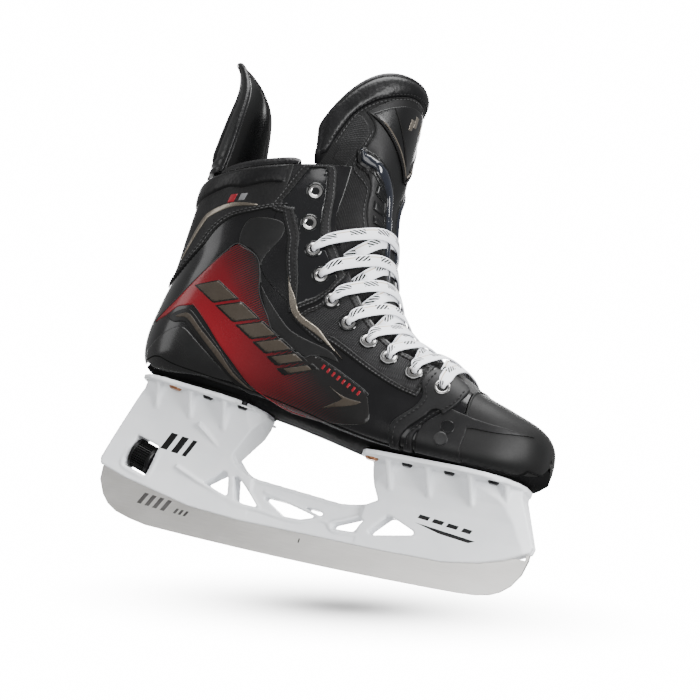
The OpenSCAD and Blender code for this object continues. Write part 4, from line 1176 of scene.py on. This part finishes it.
# The leather top, with its padded roll and bound edge
crown = [(246, -69), (262, -69.4), (290, -69.6), (307.4, -69.6), (307.4, -40), (307.4, 0),
    (307.4, 40), (307.4, 69.6), (290, 69.6), (262, 69.4), (246, 69), (258, 65), (272, 61),
    (284, 55), (289, 46), (293, 32), (297, 16), (298, 0), (297, -16), (293, -32), (289, -46),
    (284, -55), (272, -61), (258, -65)]
top_pad = tongue_panel("tongue_crown", loop_of(lay(crown), 1.6, (0, 3, 7, 10)), 2.6, 6.5,
                       soft_leather, base=0.3, slot="collar_leather")
rim = np.array([(246, -69.6), (270, -69.8), (290, -69.9), (301, -69.9), (306, -68.5), (307.6, -60),
    (307.6, -30), (307.6, 0), (307.6, 30), (307.6, 60), (306, 68.5), (301, 69.9), (290, 69.9),
    (270, 69.8), (246, 69.6)], float)
rim = smooth_path(lay(rim), 1.5)
p, f = tube(on_tongue(rim, -1.8), 2.3, 12)
follow(make("tongue_binding", p, f, soft_leather, body=None))
seam_line = smooth_path(lay(crown[11:]), 1.0)
tongue_row("crown_seam_a", offset(seam_line, -1.5)[4:-4], 0.35, thread)
tongue_row("crown_seam_b", offset(seam_line, 1.4)[4:-4], 2.0, thread_dark, lift=0.0)

# Ribbed textile at the sides, plain leather in the middle, and the guard
for side, label in SIDES:
    textile = [(284, 54.5), (270, 58), (250, 61.5), (245, 52), (256, 47), (269, 44),
               (281, 50.5)]
    textile = [(z, side * a) for z, a in textile]
    tongue_panel(f"tongue_ribs_{label}", loop_of(lay(textile), 1.2, (0, 2, 3)), 0.5, 0.8,
                 ribbed, grid=0.62, relief=ribs(1.7, 0.2))
    path = smooth_path(lay([(z, side * a) for z, a in (
        (269, 41.5), (257, 45), (245.5, 47), (238, 38), (232, 35), (215, 34),
        (198, 33), (180, 32))]), 1.0)
    tongue_row(f"guard_seam_a_{label}", path, 0.15, thread)
    tongue_row(f"guard_seam_b_{label}", offset(path, side * 2.4), 0.15, thread_dark)

centre = [(294, -26), (295, 0), (294, 26), (283, 48), (270, 40.5), (257, 43.5), (246, 45.5),
    (239, 36), (230, 33), (200, 31), (168, 30), (168, -30), (200, -31), (230, -33), (239, -36),
    (246, -45.5), (257, -43.5), (270, -40.5), (283, -48)]
guard_plate = tongue_panel("tongue_plate", loop_of(lay(centre), 1.6, (3, 6, 10, 11, 15, 18)),
                           0.75, 1.2, strap_leather, slot="guard_plastic")
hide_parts("lace_bite_guard")
for side, label in SIDES:
    ridge = np.array([(256.5, 46), (251, 41), (245.5, 33), (239.5, 23), (231, 14.5), (219, 12),
        (196, 11.5), (176, 11.5)]) * (1, side)
    path = smooth_path(lay(ridge), 1.0)
    share = np.linspace(0, 1, len(path))
    wide = 2.7 * np.clip(share * 14, 0.25, 1) * np.clip((1 - share) * 8, 0.3, 1)
    tongue_panel(f"guard_ridge_{label}", strip(path, wide), 2.3, 2.4, ridge_gloss, base=0.6,
                 grid=1.0)
    tongue_panel(f"guard_channel_{label}", strip(path, wide + 1.7), 0.8, 0.8, guard_rubber,
                 base=0.5)
    for k, z in enumerate((252, 243, 234, 225, 216, 207, 198, 189)):
        inner = (31.5, 21.5, 17, 15, 14.5, 14.5, 14.5, 14.5)[k]
        outer = (41.5, 35, 30, 28.5, 28, 27.5, 27, 26.5)[k]
        fin = [(z + 4.2, side * outer), (z + 1.2, side * (outer * 0.55 + inner * 0.45)),
               (z - 5.2, side * inner), (z - 6.8, side * (inner + 1.2)),
               (z - 4.2, side * (outer * 0.6 + inner * 0.4)), (z - 1.2, side * outer)]
        tongue_panel(f"guard_fin_{label}_{k}", loop_of(lay(fin), 1.0, (0, 2, 5)), 1.5, 1.5,
                     guard_rubber, base=0.5, grid=1.0)

# The wedge-shaped badge, with light lines along its edges and no lettering
wedge = [(281, -45), (286.5, -31), (291, -15), (292, 0), (291, 15), (286.5, 31), (281, 45),
    (246, 0.8), (246, -0.8)]
badge = tongue_panel("badge", loop_of(lay(wedge), 1.3, (0, 6, 7, 8)), 0.7, 0.8,
                     guard_rubber, base=0.8)
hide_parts("tongue_badge")
for side, label in SIDES:
    for k, (far, near, material, radius) in enumerate((
            ((276, 37), (248.5, 2), bronze, 0.6), ((286, 30.5), (254, 6), outline_dark, 0.7),
            ((281.5, 46), (244, 1.5), outline_dark, 0.8))):
        path = straight_path(lay([(far[0], side * far[1]), (near[0], side * near[1])]), 1.5)
        route = on_tongue(path, 1.55)
        p, f = tube(route, radius * np.clip(8 * np.linspace(0.04, 1, len(route)), 0.3, 1), 8)
        follow(make(f"badge_line_{label}_{k}", p, f, material, body=None))
    for k, c in enumerate(((283.5, 6.5), (280, 12))):
        quad = np.array([(-4.2, -1.6), (-3.4, 1.8), (4.4, 2.6), (3.6, -0.9)]) + (
            c[0], side * c[1] * V_MM)
        tongue_panel(f"badge_mark_{label}_{k}", straight_path(quad, 1.0, True), 0.3, 0.5,
                     bronze, base=1.4)


# ---- tendon guard ----------------------------------------------------------------------
GUARD = np.array([[223, -118, -100, 31], [240, -118, -98, 30.5], [262, -116, -98, 28],
    [284, -113, -101, 23], [298, -115, -109, 17], [306, -120, -117, 11], [309, -123, -122, 5]],
    float)


def guard_point(u, v, d):
    """The tendon guard's surface; u runs up it, v across it, d goes inwards."""
    t = u * (len(GUARD) - 1)
    r = rows_between(GUARD, np.asarray(t, float))
    a = np.radians(mix(-80, 80, v))
    lift = np.where(t < 1, 3 * (1 - np.cos(a)) * (1 - t), 0)
    return np.stack([r[..., 1] + d + (r[..., 2] - r[..., 1]) * (1 - np.cos(a)),
                     (r[..., 3] - d * 0.8) * np.sin(a), r[..., 0] + lift], -1)


def guard_panel(name, loop, height, edge, material, **more):
    """A panel on the outside of the guard; flat coordinates are 90 u and 80 v."""
    def place(p, h):
        return guard_point(p[:, 0] / 90, p[:, 1] / 80, -np.asarray(h))
    return panel(name, loop, place, height, edge, material, body="tendon_guard", **more)


def groove_depth(u, v):
    """Folds across the guard's foot, and a shallow hollow along its middle."""
    folds = 0.5 * (1 - np.cos(2 * math.pi * u / 0.055)) * np.clip(1 - u / 0.2, 0, 1)
    hollow = 0.5 * np.exp(-((v - 0.5) / 0.05) ** 2) * np.clip(1 - u, 0, 1)
    return folds * 0.9 + hollow


p, f, uv = sheet(110, 60, lambda u, v: guard_point(u, v, groove_depth(u, v)),
                 lambda u, v: guard_point(u, v, 3.4))
plate = make("guard_plate", p, f, guard_rubber, "tendon_guard",
             uv=np.concatenate([uv, uv]) * 0.09)
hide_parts("tendon_guard")
u = np.concatenate([np.linspace(0.02, 1, 60), np.ones(30), np.linspace(1, 0.02, 60)])
v = np.concatenate([np.zeros(60), np.linspace(0, 1, 30), np.ones(60)])
rim = guard_point(u, np.clip(v, 0.01, 0.99), 1.6)
keep = np.linalg.norm(rim - np.roll(rim, 1, 0), axis=1) > 0.3
keep[0] = True
p, f = tube(smooth_path(rim[keep], 1.6), 2.0, 12)
make("guard_piping", p, f, soft_leather, "tendon_guard")
for side, label in SIDES:
    u = np.linspace(0.12, 0.93, 90)
    for k, (v0, v1) in enumerate(((0.2, 0.30), (0.23, 0.335))):
        v = 0.5 + side * (0.5 - mix(v0, v1, np.clip(u * 1.3 - 0.2, 0, 1)))
        line = guard_point(u, v, 0)
        stitches(f"guard_stitch_{label}_{k}", line, unit(line - guard_point(u, v, 2)),
                 thread_dark, body="tendon_guard", lift=0.1)
    side_loop = [(9, 40 - side * 27), (34, 40 - side * 28), (60, 40 - side * 27),
                 (76, 40 - side * 22), (62, 40 - side * 18), (36, 40 - side * 19),
                 (14, 40 - side * 18)]
    guard_panel(f"guard_side_{label}", loop_of(np.array(side_loop, float), 1.6, (0, 6)), 0.9,
                2.6, soft_leather, depth=1.0, grid=2.2)


# ---- blade holder ----------------------------------------------------------------------
LOCK_X, LOCK_Z, LOCK_TILT = -113, 43, math.radians(16)
WHEEL_R, WHEEL_HALF, BORE_R, FREE_BORE_R = 9.5, 7.5, 3.05, 3.45
FLANGE_TILT = math.radians(5.4)


def block(corners):
    """Points and faces of a box-like solid from eight corners, low four first."""
    return [np.array(corners, float), [(3, 2, 1, 0), (4, 5, 6, 7), (0, 1, 5, 4),
                                       (1, 2, 6, 5), (2, 3, 7, 6), (3, 0, 4, 7)]]


def rear_flange_at(x, y, z):
    """A point by its distances along, across and above the rear flange."""
    t = FLANGE_TILT
    return (-76 + x * math.cos(t) + z * math.sin(t), y,
            87.9 - x * math.sin(t) + z * math.cos(t))


def lock_axis(u, y, w):
    """A point by its distances along, across and above the lock's axis."""
    c, s = math.cos(LOCK_TILT), math.sin(LOCK_TILT)
    return np.array((LOCK_X + u * c + w * s, y, LOCK_Z - u * s + w * c))


def holder_parts():
    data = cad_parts["holder"].data
    v = np.zeros(len(data.vertices) * 3)
    data.vertices.foreach_get("co", v)
    parts = [(v.reshape(-1, 3) * 1000, [tuple(f.vertices) for f in data.polygons])]

    def web(x, low, wide_low, top, wide_top, slope=0.0, half=1.3, place=None):
        place = place or (lambda a, b, c: (a, b, c))
        for side in (1, -1):
            c = [(x - half + slope, side * 4, low), (x + half + slope, side * 4, low),
                 (x + half + slope, side * wide_low, low),
                 (x - half + slope, side * wide_low, low),
                 (x - half, side * 4, top), (x + half, side * 4, top),
                 (x + half, side * wide_top, top), (x - half, side * wide_top, top)]
            p, f = block([place(*q) for q in c])
            parts.append((p, outward(p, f)))

    for x in (51.5, 76, 102):
        web(x, 50, 11.5, 67.5, 34, slope=0)
    web(122, 52, 9, 67.5, 23)
    for x in (-7.5, 16):
        web(x, -19, 13.5, -1.5, 28.5, place=rear_flange_at)
    web(-31, -18, 15, -1.5, 26.5, place=rear_flange_at)

    def rib(points, radius, flat=0.62):
        for side in (1, -1):
            route = smooth_path([(x, side * y, z) for x, y, z in points], 2.0)
            parts.append(tube(route, radius, 10))

    rib([(-52.5, 5, 53), (-49, 5, 49.5), (-44.5, 5, 45.6), (-36, 5, 42.4), (-24, 5, 41.2),
        (6, 5, 38.9), (16, 5, 38.0), (25, 5, 37.9), (37.5, 5, 40.4), (44.5, 5, 44.4)], 1.1)
    rib([(-70, 5.2, 30.6), (-51, 5, 26.8), (-44, 5, 24.9), (-29, 5, 24.6), (-13, 5, 22.8),
        (-1, 5, 23), (11, 5, 26.5), (17, 5, 25), (20, 5, 21.6), (33, 5, 22), (42, 5, 23.2),
        (47, 5, 22.6), (72, 6, 27.6)], 1.0)
    rib([(-50, 5, 28.5), (-53, 5, 43.5), (-56, 5.5, 52)], 1.0)
    rib([(-46.8, 5, 27), (-54, 5, 45), (-57, 5.5, 50)], 0.9)
    rib([(-28.5, 5, 26), (-37, 5, 34.4), (-45.5, 5, 42)], 0.9)
    rib([(11, 5, 28), (-10, 5, 33), (-28, 5, 36.4)], 0.9)
    rib([(19, 5, 22.5), (18, 5, 26), (36, 5, 34.4), (42, 5, 42)], 0.9)
    rib([(40.5, 5, 25), (48, 5, 33), (56, 6, 42)], 0.9)
    # Raised lines that run on from the truss over the rear tower
    rib([(-78, 14.6, 68), (-70, 12.4, 62.5), (-61, 8.8, 56), (-53, 6.2, 51), (-46, 5, 46.5)], 1.1)
    rib([(-88, 8, 40.5), (-76, 6.9, 36), (-64, 6, 31.8), (-51, 5.2, 28), (-40, 5, 25.6)], 1.1)
    # Rings round the wheel's window and bosses round the bolts
    ring = []
    for q in np.linspace(0, 2 * math.pi, 40, endpoint=False):
        cx = 10.8 * math.copysign(abs(math.cos(q)) ** 0.35, math.cos(q))
        cz = 11.9 * math.copysign(abs(math.sin(q)) ** 0.35, math.sin(q))
        ring.append(lock_axis(cx, 0, cz))
    for side in (1, -1):
        wide = [5.2 + 2.6 * np.clip((z - 30) / 22, 0, 1) for _, _, z in ring]
        route = np.array([(x, side * w, z) for (x, _, z), w in zip(ring, wide)])
        parts.append(tube(route, 1.3, 10, closed=True))
    for side in (1, -1):
        for x, y in zip((41, 63, 89, 115), (27, 27, 27, 24)):
            parts.append(lathe((x, side * y, 66.8), (0, 0, -1),
                               [(2.2, 0), (6.4, 0), (6.2, 0.8), (5.4, 1.3), (4.9, 1.0),
                                (4.7, 0.4), (2.2, 0.4)]))
        for x in (-19, 4, 28):
            base = rear_flange_at(x, side * 23, -2.6)
            tip = rear_flange_at(x, side * 23, -4)
            parts.append(lathe(base, np.array(tip) - base,
                               [(2.2, 0), (6.1, 0), (5.9, 0.8), (5.3, 1.3), (4.8, 1.0),
                                (4.6, 0.4), (2.2, 0.4)]))
    return join(parts)


def pad(name, half, place, height):
    """A thin filler between a flange and the sole, from half of its outline."""
    loop = smooth_path(np.array(half + [(x, -y) for x, y in half[::-1]], float), 1.5, True)
    centre, n, rings = loop.mean(0), len(loop), []
    for share, h in ((0.02, height), (0.96, height), (1, height - 0.4), (1, 0.05),
                     (0.02, 0.05)):
        rings += [place(x, y, h) for x, y in centre + (loop - centre) * share]
    points = np.array(rings)
    make(name, points, outward(points, ring_faces(5, n, True)), sole_black)


p, f = remeshed(*holder_parts(), voxel=0.72, rounds=3)
# The remeshed bore is opened up a little, so that the lock's hook slides freely
centre = lock_axis(0, 0, 0)
along = lock_axis(1, 0, 0) - centre
u = (p - centre) @ along
radial = p - centre - u[:, None] * along
r = np.linalg.norm(radial, axis=1)
tight = (r < FREE_BORE_R) & (u > -21) & (u < 30)
p[tight] += (radial / np.maximum(r, 0.1)[:, None] * (FREE_BORE_R - r)[:, None])[tight]
moulding = make("holder_moulding", p, f, holder_white, sharp=60)
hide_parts("holder")

pad("front_pad", [(37.5, 27), (41, 31), (48, 32.5), (97, 32.5), (110, 29.5), (119, 23),
                  (126, 14.5), (129, 6)], lambda x, y, h: (x, y, 69.3 + h), 1.9)
pad("rear_pad", [(-44, 6), (-40, 14), (-33, 20), (-24, 24.5), (14, 27), (27, 27),
                 (31, 25), (35, 18), (37.5, 7)], rear_flange_at, 2.3)
# Plain dark marks on the towers, where the pictured ones carry lettering
holder_tree = BVHTree.FromPolygons([Vector(q) for q in p.tolist()], f)


def on_holder(side):
    def place(points, heights):
        out = np.zeros((len(points), 3))
        for i, (x, z) in enumerate(points):
            hit = seen(holder_tree, x, z, side, 60)[0] or Vector((x, side * 6, z))
            out[i] = np.array(hit) + np.array([0, side, 0]) * float(heights[i])
        return out
    return place


def slab(x, z, length, tall, lean, turn):
    """A leaning bar's four corners, centred on (x, z)."""
    q = np.array([(-length / 2 - lean, -tall / 2), (length / 2 - lean, -tall / 2),
                  (length / 2 + lean, tall / 2), (-length / 2 + lean, tall / 2)])
    c, s = math.cos(turn), math.sin(turn)
    return q @ np.array([[c, s], [-s, c]]) + (x, z)


for side, label in SIDES:
    for k, (x, z, length, tall, lean) in enumerate((
            (-96, 54.6, 4.6, 11, 2.6), (-88.4, 53.6, 4.6, 11, 2.6), (-81.6, 52.7, 3, 11, 2.6),
            (75, 39.8, 6.5, 2.4, 0.6), (84, 38.9, 6.5, 2.4, 0.6), (93, 38.0, 6.5, 2.4, 0.6),
            (102, 37.1, 5.5, 2.4, 0.6))):
        quad = slab(x, z, length, tall, lean, -0.09)
        panel(f"holder_mark_{label}_{k}", straight_path(quad, 1.0, True), on_holder(side),
              0.12, 0.35, mark_black, depth=0.5, grid=1.4)
    swoosh = [(70, 36.2), (108, 32.2), (104, 30.6), (86, 32.4)]
    panel(f"holder_line_{label}", straight_path(np.array(swoosh), 1.0, True),
          on_holder(side), 0.12, 0.35, mark_black, depth=0.5, grid=1.4)
    for k, (x, z, length, tall, lean) in enumerate((
            (-107, 17.6, 3, 7.4, 1.7), (-101.5, 17.1, 3, 7.4, 1.7),
            (-96, 16.6, 3, 7.4, 1.7), (-90.5, 16.1, 3, 7.4, 1.7),
            (-83, 14.0, 1.8, 3.4, 0.8), (-79.6, 13.8, 1.8, 3.4, 0.8),
            (-76.2, 13.6, 1.8, 3.4, 0.8), (0, 12, 0.9, 2.6, 0.0))):
        quad = slab(x, z, length, tall, lean, -0.06)
        place = (lambda pts, h, k=side: np.stack(
            [pts[:, 0], k * (1.5 + np.asarray(h)), pts[:, 1]], -1))
        panel(f"runner_mark_{label}_{k}", straight_path(quad, 1.0, True), place, 0.04, 0.3,
              etched, body="runner", depth=0.2, grid=2.0)

# Lock wheel with fine ribs between its two smooth ends
COUNT, TEETH = 216, 36
q = 2 * math.pi * np.arange(COUNT) / COUNT
spoke = np.cos(q)[:, None] * [0, 1, 0] + np.sin(q)[:, None] * np.cross(along, [0, 1, 0])
ends = [(7.5, 8.96), (7.3, 9.14), (6.9, WHEEL_R), (5.6, WHEEL_R), (5.3, 9.3)]
profile = [(-u, r) for u, r in ends] + [
    (u, 8.25 + 0.85 * (np.cos(TEETH * q) > -0.1)) for u in [-5.2, *np.linspace(-5, 5, 9), 5.2]
] + ends[::-1] + [(u, BORE_R) for u in (WHEEL_HALF, 0, -WHEEL_HALF)]
rings = [lock_axis(u, 0, 0) + np.broadcast_to(r, COUNT)[:, None] * spoke for u, r in profile]
p = np.concatenate(rings)
wheel = make("knurled_wheel", p, outward(p, ring_faces(len(rings), COUNT, True)),
             wheel_black, "lock_wheel", sharp=30)
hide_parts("lock_wheel")

# ---- floor and light -------------------------------------------------------------------
up = np.array([-0.131, -0.352, 0.927])
up /= np.linalg.norm(up)


def floor_material():
    """Nearly white, with a painted shadow darkening an ellipse in its middle, and fading out
    towards the disc's rim.
    """
    s = Shader("floor", (0.92, 0.92, 0.92), 0.9)
    x, y = s.split("UV")[:2]
    ring = s.math("SQRT", s.math("ADD", s.math("POWER", x, 2.0), s.math("POWER", y, 2.0)))
    # An ellipse of painted shadow under the skate: these coordinates measure the distance from its
    # middle
    along = s.math("ADD", s.math("MULTIPLY", x, 1.574), s.math("MULTIPLY", y, 0.262))
    across = s.math("ADD", s.math("MULTIPLY", x, -1.057), s.math("MULTIPLY", y, 1.676))
    spread = s.math("SQRT", s.math("ADD", s.math("POWER", along, 2.0),
                                   s.math("POWER", across, 2.0)))
    painted_shadow = s.ramp(s.math("ADD", spread, s.math("MULTIPLY", s.noise(12, 3), 0.04)), 0.0, 1.15,
                  interpolation_type="SMOOTHERSTEP")
    # Painted shadow: dark grey in the ellipse's middle, nearly white outside it
    s.color(s.blend(painted_shadow, (0.24, 0.24, 0.24), (0.95, 0.95, 0.95)))
    fade = s.ramp(ring, 0.0, 1.0, 0.97, 0.0, interpolation_type="SMOOTHSTEP")
    s.links.new(fade, s.bsdf.inputs["Alpha"])
    return s.material


def floor_disc():
    side_way = np.cross(up, [0, 1, 0])
    side_way /= np.linalg.norm(side_way)
    deep = np.cross(up, side_way)
    middle = up * -30 + deep * -17 + side_way * -26
    rings, sides = 24, 64
    points, flat = [middle], [(0, 0)]
    for i in range(1, rings + 1):
        for c in range(sides):
            q = 2 * math.pi * c / sides
            x, y = i / rings * math.cos(q), i / rings * math.sin(q)
            points.append(middle + side_way * x * 215 + deep * y * 110)
            flat.append((x, y))
    faces = [(0, 1 + c, 1 + (c + 1) % sides) for c in range(sides)]
    for i in range(rings - 1):
        for c in range(sides):
            a, b = 1 + i * sides + c, 1 + i * sides + (c + 1) % sides
            faces.append((a, a + sides, b + sides, b))
    floor = make("floor", points, faces, floor_material(), body=None, uv=flat)


floor_disc()


def lamp(name, place, aim, size, power, color=(1, 1, 1), size_y=None):
    data = bpy.data.lights.new(name, "AREA")
    data.energy, data.size, data.color = power, size, color
    if size_y:
        data.shape, data.size_y = "RECTANGLE", size_y
    light = bpy.data.objects.new(name, data)
    light.location = place
    light.rotation_euler = (Vector(aim) - Vector(place)).to_track_quat(
        "-Z", "Y").to_euler()
    bpy.context.collection.objects.link(light)
    return light


world = bpy.data.worlds.new("world")
world.use_nodes = True
nodes, links = world.node_tree.nodes, world.node_tree.links
where = nodes.new("ShaderNodeTexCoord")
dot = nodes.new("ShaderNodeVectorMath")
dot.operation = "DOT_PRODUCT"
dot.inputs[1].default_value = tuple(-back)
glow = nodes.new("ShaderNodeMapRange")
glow.interpolation_type = "SMOOTHSTEP"
for key, value in zip((1, 2, 3, 4), (0.925, 0.966, 0.42, 16.0)):
    glow.inputs[key].default_value = value
links.new(where.outputs["Generated"], dot.inputs[0])
links.new(dot.outputs["Value"], glow.inputs[0])
links.new(glow.outputs[0], nodes["Background"].inputs["Strength"])
nodes["Background"].inputs["Color"].default_value = (1, 1, 1, 1)
bpy.context.scene.world = world
lamp("top", (0.05, -0.30, 1.45), (0.02, 0, 0.1), 1.3, 62)
lamp("right", (1.25, -0.62, 0.30), (0.03, 0, 0.08), 0.45, 34, size_y=1.0)
lamp("left", (-1.3, -0.55, 0.30), (-0.02, 0, 0.1), 0.45, 4, size_y=1.0)
lamp("front", (0.1, -1.7, -0.25), (0, 0, 0.05), 1.2, 16)
